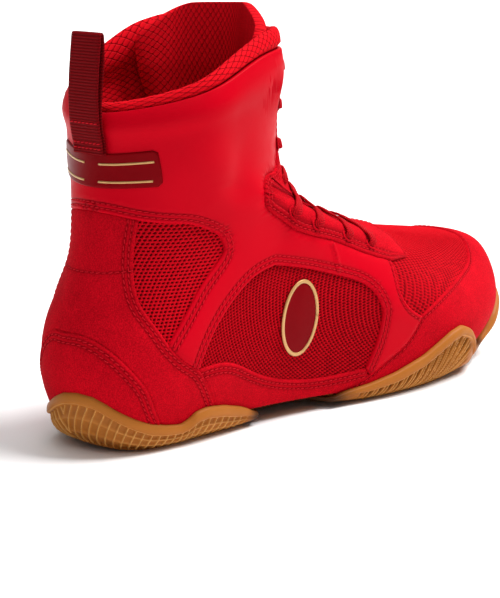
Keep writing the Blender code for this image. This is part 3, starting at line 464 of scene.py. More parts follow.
def section(row, around):
    """Points of one tilted plan section; around runs -1..1 from toe to toe, 0 at the heel."""
    size = dict(zip(LEVEL_COLUMNS.split(), row))
    length = size["front"] - size["back"]
    share = (1 - np.cos(np.pi * np.abs(around))) / 2
    fan = FULL_LENGTH / length
    u = share * fan / (1 + (fan - 1) * share)
    angle = np.arccos(np.clip(1 - 2 * u, -1, 1))
    widths = [size[name] / math.sqrt(1 - (1 - 2 * at)**2)
              for name, at in zip(("heel", "mid", "fore", "toe"), WIDTH_AT)]
    heel_end = math.sqrt(HEEL_ROUND * size["heel"] * length / 2)
    toe_end = math.sqrt(TOE_ROUND * size["toe"] * length / 2)
    half = spline((0, *WIDTH_AT, 1), (heel_end, *widths, toe_end))
    height = spline((0, WIDTH_AT[1], WIDTH_AT[2], 1),
                    [size[name] for name in ("z_back", "z_mid", "z_fore", "z_front")])
    x = size["back"] + length * u
    y = swing_at(x) + np.sign(around) * half(u) * np.sin(angle)
    return np.stack([x, y, height(u)], -1)


def around_at_offset(row, offset):
    """Place around, near the front, where a section lies this far from the centre line."""
    around = np.linspace(*THROAT_SEARCH)
    points = section(row, around)
    return float(np.interp(offset, np.abs(points[:, 1] - swing_at(points[:, 0])), around))


def cut_section(around, level):
    """A section whose last points are drawn back to the edge of the throat."""
    row = level_row(level)
    share = np.clip((level - THROAT_START) / (THROAT_FULL - THROAT_START), 0, 1)
    gap = THROAT_HALF * math.sqrt(1 - (1 - share)**2)
    reach = around_at_offset(row, gap) if gap > 0 else 1.0
    return section(row, around - (1 - reach) * np.sign(around) * np.abs(around)**THROAT_POWER)


def whole_section(around, level):
    return section(level_row(level), around)


AROUND = np.linspace(-1, 1, 1025)
LEVEL_STEP = 0.02


class Chart:
    """Dense chart of the last: point, normal and slopes at any place around and level."""

    def __init__(self, low, high, row_of, relief=None):
        self.levels = np.arange(low, high + LEVEL_STEP / 2, LEVEL_STEP)
        self.points = np.array([row_of(AROUND, level) for level in self.levels])
        self.measure()
        if relief is not None:
            self.points += relief(self)[..., None] * self.normals
            self.measure()

    def measure(self):
        step = AROUND[1] - AROUND[0]
        self.d_around = np.gradient(self.points, step, axis=1)
        closed = self.levels <= THROAT_START
        seam = (self.points[closed, 1] - self.points[closed, -2]) / (2 * step)
        self.d_around[closed, 0] = seam
        self.d_around[closed, -1] = seam
        self.d_level = np.gradient(self.points, LEVEL_STEP, axis=0)
        self.normals = -unit(np.cross(self.d_around, self.d_level))

    def read(self, around, level, *tables):
        """Values of tables at places; past the toe, around comes back on the other side."""
        around, level = np.broadcast_arrays(np.asarray(around, float), np.asarray(level, float))
        around = np.where(np.abs(around) > 1, (around + 1) % 2 - 1, around)
        c = (around + 1) / (AROUND[1] - AROUND[0])
        r = (level - self.levels[0]) / LEVEL_STEP
        c0 = np.clip(np.floor(c).astype(int), 0, len(AROUND) - 2)
        r0 = np.clip(np.floor(r).astype(int), 0, len(self.levels) - 2)
        p, q = (c - c0)[..., None], (r - r0)[..., None]
        values = []
        for table in tables:
            low = table[r0, c0] * (1 - p) + table[r0, c0 + 1] * p
            high = table[r0 + 1, c0] * (1 - p) + table[r0 + 1, c0 + 1] * p
            values.append(low * (1 - q) + high * q)
        return values

    def look(self, around, level):
        """Point, normal, slope around and slope up."""
        point, normal, slope_around, slope_level = self.read(around, level, self.points, self.normals,
                                                             self.d_around, self.d_level)
        return point, unit(normal), slope_around, slope_level

    def place(self, around, level, lift=0.0):
        point, normal, _, _ = self.look(around, level)
        return point + normal * np.asarray(lift, float)[..., None]

    def at(self, line):
        """Points of a pattern line."""
        return self.look(*np.asarray(line, float).T)[0]

    def lay(self, line, lift):
        """Points of a pattern line at one height over the last, and their directions across it."""
        line = np.asarray(line, float)
        points = self.place(*line.T, lift)
        return points, np.cross(self.look(*line.T)[1], np.gradient(points, axis=0))

    def level_at_height(self, around, height):
        """Level where the face reaches each height over the floor; 0 where it never lies that low."""
        low = self.levels < CUP_HIGHEST
        rise = self.look(np.asarray(around, float)[:, None], self.levels[low])[0][..., 2]
        return np.array([np.interp(h, z, self.levels[low]) for h, z in zip(height, rise)])


def relief(chart):
    """Padding under the collar and the creases laid over the last, in millimetres out of it."""
    levels = chart.levels[:, None]
    puff = COLLAR_PUFF * bell((levels - COLLAR_PUFF_LEVEL) / COLLAR_PUFF_HALF)
    tuck = COLLAR_TUCK * smooth_step((levels - COLLAR_TUCK_LEVEL) / COLLAR_TUCK_WAY)
    share = PUFF_LEAST + (1 - PUFF_LEAST) * smooth_step((PUFF_END - np.abs(AROUND)) / PUFF_FADE)
    height = (puff - tuck) * share
    around_at, level_at, half_around, half_level, depth = HEEL_HOLLOW
    height -= depth * bell((AROUND - around_at) / half_around) * bell((levels - level_at) / half_level)
    for start, end, width, rise in CREASES:
        for side in (-1, 1):
            far = np.full(height.shape, 1e9)
            for point in chart.at(np.linspace(start, end, CREASE_POINTS) * (side, 1)):
                far = np.minimum(far, ((chart.points - point)**2).sum(-1))
            height += rise * np.exp(-far / width**2)
    return height


skin = Chart(0.0, TOP_LEVEL, cut_section, relief)
whole = Chart(3.6, 9.0, whole_section)
ROW_SCALE = np.linalg.norm(skin.d_around, axis=-1).mean(1)


def row_scale(level):
    """Millimetres in one unit around at a level."""
    return np.interp(level, skin.levels, ROW_SCALE)


def frame_shift():
    """Where the shoe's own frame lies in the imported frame, from the upper's box in both."""
    rows = [cut_section(np.linspace(-1, 1, SOLID_COLUMNS + 1), level) for level in SOLID_WAIST_LEVELS]
    low = np.concatenate(rows).min(0)
    box_low = np.array(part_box("upper")[0]) / MM
    return np.array([box_low[0] - low[0], box_low[1] - low[1], 0])


SHIFT = frame_shift()


def to_world(points):
    return (np.asarray(points, float) + SHIFT) * MM


# Materials.


class Paint:
    """A Principled material with short helpers for its nodes."""

    def __init__(self, name, colour, roughness, **sockets):
        self.material = bpy.data.materials.new(name)
        self.material.use_nodes = True
        self.nodes = self.material.node_tree.nodes
        self.shader = self.nodes["Principled BSDF"]
        self.set("Base Color", (*colour, 1))
        self.set("Roughness", roughness)
        for socket, value in sockets.items():
            self.set(socket.replace("_", " "), value)

    def set(self, socket, value):
        self.shader.inputs[socket].default_value = value

    def join(self, source, target):
        self.material.node_tree.links.new(source, target)

    def node(self, kind, **values):
        made = self.nodes.new(kind)
        for name, value in values.items():
            if name in made.inputs:
                made.inputs[name].default_value = value
            else:
                setattr(made, name, value)
        return made

    def place(self):
        return self.node("ShaderNodeTexCoord").outputs["Object"]

    def noise(self, scale, detail=3.0, roughness=0.55):
        made = self.node("ShaderNodeTexNoise", Scale=scale, Detail=detail, Roughness=roughness)
        self.join(self.place(), made.inputs["Vector"])
        return made.outputs["Fac"]

    def cells(self, scale):
        made = self.node("ShaderNodeTexVoronoi", Scale=scale, feature="SMOOTH_F1", Smoothness=0.6)
        self.join(self.place(), made.inputs["Vector"])
        return made.outputs["Distance"]

    def mottled(self, colour, scale, low, high, detail=3):
        """A colour that drifts between two shades."""
        return self.blend(self.noise(scale, detail), shade(colour, low), shade(colour, high))

    def attribute(self, name):
        return self.node("ShaderNodeAttribute", attribute_name=name).outputs["Fac"]

    def weave(self):
        """The two directions of a cloth, in millimetres, from the 'weave' attribute."""
        split = self.node("ShaderNodeSeparateXYZ")
        self.join(self.node("ShaderNodeAttribute", attribute_name="weave").outputs["Vector"], split.inputs[0])
        return split.outputs[0], split.outputs[1]

    def math(self, operation, first, second=None):
        made = self.node("ShaderNodeMath", operation=operation)
        for socket, value in zip(made.inputs, (first, second)):
            if value is None:
                continue
            if isinstance(value, (int, float)):
                socket.default_value = value
            else:
                self.join(value, socket)
        return made.outputs[0]

    def spread(self, value, low, high, to_low=0.0, to_high=1.0):
        made = self.node("ShaderNodeMapRange", interpolation_type="SMOOTHSTEP")
        for name, number in (("From Min", low), ("From Max", high), ("To Min", to_low), ("To Max", to_high)):
            made.inputs[name].default_value = number
        self.join(value, made.inputs["Value"])
        return made.outputs["Result"]

    def blend(self, factor, first, second):
        made = self.node("ShaderNodeMix", data_type="RGBA")
        self.join(factor, made.inputs["Factor"])
        for socket, colour in ((made.inputs["A"], first), (made.inputs["B"], second)):
            if isinstance(colour, tuple):
                socket.default_value = (*colour, 1)
            else:
                self.join(colour, socket)
        return made.outputs["Result"]

    def colour(self, socket):
        self.join(socket, self.shader.inputs["Base Color"])

    def sewn_colour(self, socket, colour):
        """Colour with painted shade in the stitch grooves by the 'seam' attribute."""
        self.colour(self.blend(self.attribute("seam"), socket, shade(colour, SEAM_SHADE)))

    def rough(self, socket):
        self.join(socket, self.shader.inputs["Roughness"])

    def bump(self, height, strength, distance):
        made = self.node("ShaderNodeBump", Strength=strength, Distance=distance * MM)
        self.join(height, made.inputs["Height"])
        last = self.shader.inputs["Normal"].links
        if last:
            self.join(last[0].from_socket, made.inputs["Normal"])
        self.join(made.outputs["Normal"], self.shader.inputs["Normal"])


def shade(colour, factor):
    return tuple(c * factor for c in colour)


def leather():
    paint = Paint("leather", RED_LEATHER, 0.4, Specular_IOR_Level=0.02)
    paint.sewn_colour(paint.mottled(RED_LEATHER, 28, 0.92, 1.06, 4), RED_LEATHER)
    paint.rough(paint.spread(paint.noise(160, 3), 0.3, 0.7, 0.34, 0.44))
    paint.bump(paint.cells(1500), 0.14, 0.12)
    paint.bump(paint.noise(420, 4), 0.08, 0.25)
    return paint.material


def suede():
    paint = Paint("suede", RED_SUEDE, 0.85, Specular_IOR_Level=0.02, Sheen_Weight=0.06, Sheen_Roughness=0.4)
    paint.set("Sheen Tint", (1.0, 0.12, 0.14, 1))
    nap = paint.noise(1700, 3, 0.7)
    cloud = paint.noise(70, 4, 0.6)
    shift = paint.math("ADD", paint.math("MULTIPLY", nap, 0.8), paint.math("MULTIPLY", cloud, 0.2))
    level = paint.spread(shift, 0.32, 0.68)
    paint.sewn_colour(paint.blend(level, shade(RED_SUEDE, 0.6), shade(RED_SUEDE, 1.22)), RED_SUEDE)
    paint.bump(nap, 0.4, 0.30)
    paint.bump(paint.noise(2600, 2), 0.3, 0.12)
    return paint.material


def knit():
    """Yarn of the mesh, with painted shade in the holes by the 'hole' attribute."""
    paint = Paint("knit", RED_YARN, 0.7, Specular_IOR_Level=0.02)
    paint.colour(paint.blend(paint.attribute("hole"), paint.mottled(RED_YARN, 1400, 0.85, 1.12), RED_PAINTED_SHADE))
    paint.bump(paint.noise(3200, 2), 0.2, 0.1)
    return paint.material


def lining():
    """Cloth with a diagonal basket weave, drawn in millimetres by the 'weave' attribute, with painted shade
    between the threads and painted light and shade across each cell.
    """
    paint = Paint("lining", RED_LINING, 0.75, Specular_IOR_Level=0.03)
    u, v = paint.weave()

    def slant(sign):
        way = paint.math("ADD", u, paint.math("MULTIPLY", v, sign))
        return paint.math("DIVIDE", way, WEAVE_PITCH)

    first, second = slant(WEAVE_LEAN), slant(-WEAVE_LEAN)
    ridges = [paint.math("ABSOLUTE", paint.math("SINE", paint.math("MULTIPLY", way, math.pi)))
              for way in (first, second)]
    # Painted shade in the grooves between the threads.
    raised = paint.spread(paint.math("MULTIPLY", *ridges), 0.0, 0.28)
    # Painted light and shade: each cell lighter on one side, darker on the other.
    painted_slope_light = paint.blend(paint.math("FRACT", first), shade(RED_LINING, 1.2), shade(RED_LINING, 0.7))
    thread = paint.blend(paint.noise(700, 3), painted_slope_light, shade(RED_LINING, 1.0))
    paint.colour(paint.blend(raised, shade(RED_LINING, 0.58), thread))
    paint.bump(raised, 0.8, 0.7)
    paint.bump(paint.noise(2400, 2), 0.25, 0.1)
    return paint.material


def woven(name, colour, pitch, slant, groove):
    """Flat woven tape; ribs across it by the 'weave' attribute, with painted shade in the grooves between
    them.
    """
    paint = Paint(name, colour, 0.7, Specular_IOR_Level=0.04)
    across, run = paint.weave()
    tilt = paint.math("MULTIPLY", paint.math("ABSOLUTE", across), slant)
    wave = paint.math("SINE", paint.math("MULTIPLY", paint.math("ADD", run, tilt), 2 * math.pi / pitch))
    rib = paint.spread(wave, -0.7, 0.6)
    # Painted shade: the grooves between ribs take this share of the colour.
    paint.colour(paint.blend(rib, shade(colour, groove), paint.mottled(colour, 900, 0.85, 1.15)))
    paint.bump(rib, 0.7, 0.3)
    return paint.material


def rubber():
    """Gum rubber with painted shade in the grooves and under the waist, and painted highlight on the crests,
    by the 'cavity' attribute.
    """
    paint = Paint("gum", GUM, 0.5, Specular_IOR_Level=0.12)
    painted_shading = paint.attribute("painted_shading")
    face = paint.mottled(GUM, 45, 0.9, 1.1, 4)
    crest = paint.spread(painted_shading, 0.0, -1.0)
    paint.colour(paint.blend(painted_shading, paint.blend(crest, face, GUM_HIGHLIGHT), GUM_SHADE))
    paint.rough(paint.spread(paint.noise(300, 3), 0.3, 0.7, 0.44, 0.58))
    paint.bump(paint.noise(1200, 3), 0.08, 0.15)
    return paint.material


def plain(name, colour, roughness, **sockets):
    paint = Paint(name, colour, roughness, **sockets)
    paint.colour(paint.mottled(colour, 220, 0.9, 1.1))
    paint.bump(paint.noise(1500, 3), 0.1, 0.1)
    return paint.material


LEATHER = leather()
SUEDE = suede()
KNIT = knit()
LINING = lining()
WEBBING = woven("webbing", RED_WEBBING, 1.25, 0.0, 0.6)
LACE = woven("lace", RED_LACE, 1.1, 0.8, 0.6)
RUBBER = rubber()
THREAD = plain("thread", RED_THREAD, 0.7, Specular_IOR_Level=0.04)
PLATE = plain("plate", RED_PLATE, 0.3, Specular_IOR_Level=0.025)
METAL = plain("gold", GOLD, 0.38, Metallic=0.35)
# Painted shade inside the eyelet holes.
EYELET_SHADE = plain("eyelet_hole_shade", RED_PAINTED_SHADE, 0.9, Specular_IOR_Level=0.05)


# Building pieces.


def make_piece(name, points, faces, materials, nodes=(), attributes=None, face_slots=None):
    """One piece of the visual model from points in millimetres, riding on the shoe."""
    mesh = bpy.data.meshes.new(name)
    mesh.from_pydata(to_world(points).tolist(), [], [[int(i) for i in face] for face in faces])
    for material in materials:
        mesh.materials.append(material)
    if face_slots is not None:
        mesh.polygons.foreach_set("material_index", np.asarray(face_slots, np.int32))
    for key, values in (attributes or {}).items():
        values = np.asarray(values, np.float32)
        if values.ndim == 1:
            mesh.attributes.new(key, "FLOAT", "POINT").data.foreach_set("value", values)
        else:
            mesh.attributes.new(key, "FLOAT_VECTOR", "POINT").data.foreach_set("vector", values.ravel())
    mesh.polygons.foreach_set("use_smooth", np.full(len(mesh.polygons), True))
    mesh.validate()
    piece = add_object(name, mesh)
    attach(piece, "root")
    if nodes:
        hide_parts(*nodes)
    return piece


def outward(piece, weld=0.0):
    """Turn a closed piece's faces out; points nearer than weld, in millimetres, are joined first."""
    shape = bmesh.new()
    shape.from_mesh(piece.data)
    if weld:
        bmesh.ops.remove_doubles(shape, verts=shape.verts, dist=weld * MM)
    bmesh.ops.recalc_face_normals(shape, faces=shape.faces)
    if shape.calc_volume(signed=True) < 0:
        bmesh.ops.reverse_faces(shape, faces=shape.faces)
    shape.to_mesh(piece.data)
    shape.free()
    return piece


def along(table, step=LINE_STEP):
    """Points of a smooth pattern line through its table, about one step apart."""
    points = np.array(table, float)
    run = run_along(skin.at(points))
    count = max(3, int(round(run[-1] / step)) + 1)
    return [tuple(p) for p in spline(run, points)(np.linspace(0, run[-1], count))]


def chain(*lines):
    """Pattern lines joined end to end, without repeated corners."""
    joined = []
    for line in lines:
        for point in line:
            if not joined or math.dist(joined[-1], point) > SAME_PLACE:
                joined.append(tuple(point))
    if math.dist(joined[0], joined[-1]) < SAME_PLACE:
        joined.pop()
    return joined


def flip(line):
    """The same pattern line on the other side of the heel, run the other way."""
    return [(-a, t) for a, t in reversed(line)]


def mirrored(line):
    """A closed pattern from its medial half."""
    return chain(line, flip(line))


SIDES = (("medial", list, 1), ("lateral", flip, -1))


def over_toe(line):
    """The same pattern line on the other side of the toe, run the other way."""
    return [(2 - a, t) for a, t in reversed(line)]


def turns_left(outline):
    points = np.array(outline)
    after = np.roll(points, -1, axis=0)
    return np.sum(points[:, 0] * after[:, 1] - points[:, 1] * after[:, 0]) > 0


def moved(line, amount, left, closed=False):
    """A pattern line drawn inwards by millimetres; left says how its loop turns."""
    line = np.array(line, float)
    point, normal, slope_around, slope_level = skin.look(*line.T)
    if closed:
        way = np.roll(point, -1, axis=0) - np.roll(point, 1, axis=0)
    else:
        way = np.gradient(point, axis=0)
    shift = np.cross(normal, unit(way)) * amount * (-1 if left else 1)
    aa = (slope_around**2).sum(-1)
    ll = (slope_level**2).sum(-1)
    al = (slope_around * slope_level).sum(-1)
    ba = (slope_around * shift).sum(-1)
    bl = (slope_level * shift).sum(-1)
    det = aa * ll - al**2
    return line + np.stack([(ba * ll - bl * al) / det, (bl * aa - ba * al) / det], -1)


def loop_of(*pairs):
    """A closed pattern from pairs of a line and how far it runs on under its neighbour."""
    left = turns_left(chain(*[line for line, _ in pairs]))
    lines = [line if lap == 0 else [tuple(p) for p in moved(line, -lap, left)] for line, lap in pairs]
    return chain(*lines)


def outlines(*pairs):
    """A panel's cut edge, as in loop_of, and the edge that shows."""
    return loop_of(*pairs), chain(*[line for line, _ in pairs])


RISE = np.cumsum(np.linalg.norm(skin.d_level, axis=-1, keepdims=True), axis=0) * LEVEL_STEP


def flat(points, middle):
    """Pattern points laid out near their real size, from a place around in the pattern's middle."""
    points = np.asarray(points, float)
    level = np.clip(points[:, 1], 0, TOP_LEVEL)
    height = skin.read(points[:, 0], level, RISE)[0][:, 0]
    return np.stack([(points[:, 0] - middle) * row_scale(level), height], -1)


def middle_of(outline):
    """The toe for a pattern that crosses it, else the heel."""
    return 1 if np.max(np.array(outline)[:, 0]) > 1 else 0


def inside(outline, points):
    """True for each point that a closed outline holds."""
    odd = np.zeros(len(points), bool)
    x, y = points[:, 0], points[:, 1]
    for (ax, ay), (bx, by) in zip(outline, np.roll(outline, -1, axis=0)):
        if ay == by:
            continue
        cross = ((ay > y) != (by > y)) & (x < ax + (y - ay) * (bx - ax) / (by - ay))
        odd ^= cross
    return odd


def line_finder(line, closed=False):
    """Distance in millimetres from places on the last to a pattern line."""
    fine = np.array([*line, line[0]] if closed else line)
    shares = np.linspace(0, 1, LINE_PARTS)[:, None]
    points = skin.at(np.concatenate([a + (b - a) * shares for a, b in zip(fine, fine[1:])]))
    tree = KDTree(len(points))
    for i, point in enumerate(points):
        tree.insert(point, i)
    tree.balance()
    return lambda places: np.array([tree.find(p)[2] for p in places])


def dense(line):
    """A pattern line with its points close together."""
    line = np.array(line, float)
    run = run_along(skin.at(line))
    spots = np.linspace(0, run[-1], int(run[-1] / SEAM_STEP) + 2)
    return np.stack([np.interp(spots, run, line[:, k]) for k in (0, 1)], -1)


def fill_pattern(outline, spacing, extra):
    """Triangles over a closed pattern: its edge, rings along the edge, extra lines and a grid inside."""
    left = turns_left(outline)
    far = line_finder(outline, closed=True)
    edge = np.array(outline)
    middle = middle_of(outline)
    ring = flat(outline, middle)
    spots = []

    def take(line, least):
        """Keep the points of a line that lie in the pattern and farther than least from its edge."""
        line = line[inside(ring, flat(line, middle))]
        if len(line):
            spots.append(line[far(skin.at(line)) > least])
        return line

    for distance in EDGE_RINGS:
        take(moved(outline, distance, left, closed=True), distance * RING_CLEAR)
    for line in extra:
        take(line, EDGE_RINGS[0] / 2)
    low, high = edge.min(0), edge.max(0)
    level, odd = low[1], False
    while level < high[1]:
        step = spacing / row_scale(level)
        around = np.arange(low[0] + odd * step / 2, high[0], step)
        row = np.stack([around, np.full(len(around), level)], -1)
        row = take(row, EDGE_RINGS[-1] + spacing * GRID_CLEAR)
        slope = skin.look(*row.T)[3]
        level += spacing / (np.linalg.norm(slope, axis=-1).max() if len(row) else LEVEL_HEIGHT)
        odd = not odd
    all_spots = np.concatenate([edge, *spots])
    laid = flat(all_spots, middle)
    count = len(edge)
    edges = [(i, (i + 1) % count) for i in range(count)]
    points, _, faces, origin, _, _ = delaunay_2d_cdt([Vector(p) for p in laid], edges, [], 0, 1e-4)
    laid_points = np.array([tuple(p) for p in points])
    faces = np.array(faces)
    faces = faces[inside(ring, laid_points[faces].mean(1))]
    places = np.array([all_spots[sources[0]] if sources else (np.nan, np.nan) for sources in origin])
    faces = faces[~np.isnan(places[faces]).any((1, 2))]
    used = np.unique(faces)
    renumber = np.full(len(places), -1)
    renumber[used] = np.arange(len(used))
    places = places[used]
    return places, renumber[faces], far(skin.at(places))


def rim_edges(faces):
    """Edges with a face on one side only, in the face's own direction."""
    count = {}
    for a, b, c in faces.tolist():
        for edge in ((a, b), (b, c), (c, a)):
            count[edge] = count.get(edge, 0) + 1
    return [edge for edge in count if (edge[1], edge[0]) not in count]


def panel(name, outline, height, material, nodes, sewn=(), laps=(), visible=None, spacing=PANEL_SPACING,
          base=PANEL_BASE, puff=PANEL_PUFF, radius=EDGE_RADIUS):
    """A panel with rounded edges over the last; sewn: lines and their stitch rows, laps: hidden edges."""
    left = turns_left(outline)
    extra = []
    for line, rows in sewn:
        extra += [moved(dense(line), row + side, left) for row in rows for side in SEAM_RINGS]
    extra += [moved(dense(line), -depth, left) for line in laps for depth in LAP_RINGS]
    for start, end, width, _ in CREASES:
        if width < FINE_CREASE:
            crease = np.linspace(start, end, FINE_CREASE_POINTS)
            extra += [crease * (side, 1) + (shift, 0) for side in (-1, 1) for shift in CREASE_SHIFTS]
    places, faces, far = fill_pattern(outline, spacing, extra)
    spots = skin.at(places)
    rounding = np.clip(1 - far / radius, 0, 1)
    top = height - radius * (1 - np.sqrt(1 - rounding**2)) + puff * (1 - bell(far / PUFF_WAY))
    # Mask of the stitch grooves, which gets painted shade.
    seam = np.zeros(len(places))
    for line, rows in sewn:
        near = line_finder(line)(spots)
        for row in rows:
            groove = bell((near - row) / GROOVE_WIDTH)
            seam = np.maximum(seam, groove)
            top -= GROOVE_DEPTH * groove
            sew(line, row, height + puff * (1 - bell(row / PUFF_WAY)), left)
    if laps:
        within = np.where(inside(flat(visible, 0), flat(places, 0)), 1, -1)
        for line in laps:
            near = line_finder(line)(spots)
            share = smooth_step((near * within + LAP_START) / LAP_WAY)
            top = np.where(near < UNDERLAP + 1, LAP_HEIGHT + (top - LAP_HEIGHT) * share, top)
    count = len(places)
    points = np.concatenate([skin.place(*places.T, lift) for lift in (top, base)])
    sides = [(a, b, b + count, a + count) for a, b in rim_edges(faces)]
    all_faces = faces.tolist() + (faces[:, ::-1] + count).tolist() + sides
    outward(make_piece(name, points, all_faces, [material], nodes, {"seam": np.tile(seam, 2)}))


stitch_spots = []


def sew(line, inset, height, left):
    """Lay a row of stitches along a pattern line, this far inside it."""
    path = moved(line, inset, left)
    points, normals, _, _ = skin.look(*path.T)
    points = points + normals * (height - STITCH_SINK)
    run = run_along(points)
    count = max(2, int(run[-1] / STITCH_PITCH))
    at = (np.arange(count) + 0.5) * run[-1] / count

    def read(table, spots):
        return np.stack([np.interp(spots, run, table[:, k]) for k in range(3)], -1)

    way = unit(read(points, at + STITCH_NEAR) - read(points, at - STITCH_NEAR))
    stitch_spots.append((read(points, at), way, unit(read(normals, at))))


def make_stitches():
    """All stitch rows as two pieces of thread."""
    centre, way, normal = (np.concatenate(part) for part in zip(*stitch_spots))
    across = unit(np.cross(normal, way))
    slant = unit(way + STITCH_SLANT * across)
    rings = []
    for at, size in STITCH_RINGS:
        for turn in np.linspace(0, 2 * math.pi, STITCH_SIDES, endpoint=False):
            side = math.cos(turn) * size * STITCH_WIDTH / 2
            rise = math.sin(turn) * size * STITCH_THICK + STITCH_ARCH * (1 - abs(at) * STITCH_BOW)
            rings.append(centre + slant * at * STITCH_LENGTH + across * side + normal * rise)
    points = np.stack(rings, 1)
    tube = capped_tube(len(STITCH_RINGS), STITCH_SIDES)
    middle = len(points) // 2
    for number, part in enumerate((points[:middle], points[middle:]), 1):
        faces = [[v + i * len(rings) for v in face] for i in range(len(part)) for face in tube]
        outward(make_piece(f"stitches_{number}", part.reshape(-1, 3), faces, [THREAD]))


def mesh_window(name, outline, pitch, oval, spacing, depth, turn=0.0, lean=0.0, hole_shade=1.0):
    """Knitted mesh behind a window: oval holes on a staggered grid, turned by degrees and leaning; the holes
    get painted shade.
    """
    left = turns_left(outline)
    grown = [tuple(p) for p in moved(outline, -UNDERLAP, left, closed=True)]
    edge = np.array(grown)
    low, high = edge.min(0), edge.max(0)
    middle = middle_of(grown)
    columns = np.linspace(low[0], high[0], MESH_COLUMNS)
    rises = skin.read(columns, np.clip(skin.levels, low[1], high[1])[:, None], RISE)[0][..., 0]
    steepest = rises[:, np.argmax(np.ptp(rises, axis=0))]
    count_up = int(np.ptp(steepest) / spacing) + 2
    inner = (skin.levels >= low[1]) & (skin.levels <= high[1])
    heights = np.linspace(steepest.min(), steepest.max(), count_up)
    levels = np.interp(heights, steepest[inner], skin.levels[inner])
    count_round = int((high[0] - low[0]) * row_scale(low[1]) / spacing) + 2
    a, t = np.meshgrid(np.linspace(low[0], high[0], count_round), levels)
    places = np.stack([a, t], -1).reshape(-1, 2)
    laid = flat(places, middle)
    cosine, sine = math.cos(math.radians(turn)), math.sin(math.radians(turn))
    rise = (laid @ (-sine, cosine)).reshape(a.shape)
    u = ((laid @ (cosine, sine)).reshape(a.shape) + lean * rise) / pitch[0]
    v = rise / pitch[1]
    off = []
    for stagger in (0, 0.5):
        high_by = (v + stagger - np.rint(v + stagger)) * pitch[1]
        wide_by = (u + stagger - np.rint(u + stagger)) * pitch[0] - lean * high_by
        off.append(np.hypot(wide_by / oval[0], high_by / oval[1]))
    hole = smooth_step((HOLE_REACH - np.minimum(*off)) / HOLE_EDGE)
    keep = inside(flat(grown, middle), laid).reshape(a.shape)
    points = skin.place(a, t, PANEL_BASE + depth * (1 - hole))
    index = np.full(a.shape, -1)
    index[keep] = np.arange(keep.sum())
    whole_cell = keep[:-1, :-1] & keep[1:, :-1] & keep[:-1, 1:] & keep[1:, 1:]
    r, c = np.nonzero(whole_cell)
    faces = np.stack([index[r, c], index[r + 1, c], index[r + 1, c + 1], index[r, c + 1]], -1)
    # The 'hole' attribute paints shade into the holes.
    make_piece(name, points[keep], faces.tolist(), [KNIT], attributes={"hole": hole_shade * hole[keep]})


# The parts of the shoe.


def sole_height(around):
    """Height of the sole's top edge, with the corners of its table softened."""
    fine = np.linspace(-1.1, 1.1, SOLE_EDGE_SAMPLES)
    folded = np.where(np.abs(fine) > 1, 2 - np.abs(fine), np.abs(fine))
    raw = by_table(SOLE_EDGE)(folded)
    kernel = bell(np.linspace(-2, 2, SOLE_EDGE_BLUR))
    soft = np.convolve(raw, kernel / kernel.sum(), mode="same")
    place = np.asarray(around, float)
    place = np.where(np.abs(place) > 1, (place + 1) % 2 - 1, place)
    return np.interp(place + HEEL_TURN * bell(place / HEEL_TURN_WAY), fine, soft)


def sole_line(start, end):
    """Pattern line a little inside the sole's cup, between two places around."""
    count = max(3, int(abs(end - start) * AROUND_LENGTH / LINE_STEP))
    around = np.linspace(start, end, count)
    level = skin.level_at_height(around, sole_height(around) - SOLE_LAP)
    return [(a, max(t, LOWEST_LEVEL)) for a, t in zip(around, level)]


def front_line():
    """The straight front edge of the eyestay, from its tip to the toe seam."""
    line = []
    rows = (skin.levels > EYESTAY_FRONT_LEVEL) & (skin.levels <= THROAT_START)
    for around in np.linspace(EYESTAY_TIP[0] + EYESTAY_FRONT_START, 1, EYESTAY_FRONT_STEPS):
        x = skin.look(around, skin.levels[rows])[0][:, 0]
        line.append((around, float(np.interp(-EYESTAY_FRONT_X, -x, skin.levels[rows]))))
    return line


cuff, achilles, counter = along(CUFF_EDGE), along(ACHILLES_EDGE), along(COUNTER_EDGE)
strap_foot = along(STRAP_FOOT)
window_back, window_top = along(WINDOW_BACK), along(WINDOW_TOP)
window_front, window_foot = along(WINDOW_FRONT), along(WINDOW_FOOT)
rand_low, rand_high = along(RAND_EDGE_LOW), along(RAND_EDGE_HIGH)
vamp, eyestay_edge, patch = along(VAMP_EDGE), along(EYESTAY_EDGE), along(PATCH_EDGE)
eyestay_front = front_line()


def both(lines):
    """Lines and their stitch rows on both sides of the heel."""
    return [*lines, *[(flip(line), rows) for line, rows in lines]]


def leaning(line):
    """A heel line with the patch's arch narrower on the medial side, so that it falls sooner there."""
    around, level = np.array(line).T
    (low, high), (low_way, high_way) = PATCH_LEVELS, PATCH_FADES
    fade = smooth_step((high - level) / high_way) * smooth_step((level - low) / low_way)
    medial = (around > 0) & (around < PATCH_SIDE)
    return list(zip(around * (1 - PATCH_NARROW * fade * medial), level))


def make_quarter():
    """The leather quarter with its cuff and strap, and its stitch rows."""
    window = chain(window_back, window_top, window_front)
    strap_front = [p for p in rand_low if p[0] > STRAP_END]
    collar = [(a, COLLAR_EDGE_LEVEL) for a in np.linspace(eyestay_edge[-1][0], 0, COLLAR_STEPS)]
    half, shown = outlines((cuff, 0), (strap_foot, UNDERLAP), (window, 0), (strap_front, UNDERLAP), (vamp, 0),
                           (eyestay_edge, UNDERLAP), (collar, 0))
    laps = [strap_foot, strap_front, eyestay_edge]
    sewn = both([(cuff, DOUBLE_ROW), (window, DOUBLE_ROW), (vamp, SINGLE_ROW)])
    panel("quarter_panel", mirrored(half), HEIGHT["quarter"], LEATHER, ["quarter"], sewn,
          laps + [flip(line) for line in laps], mirrored(shown))


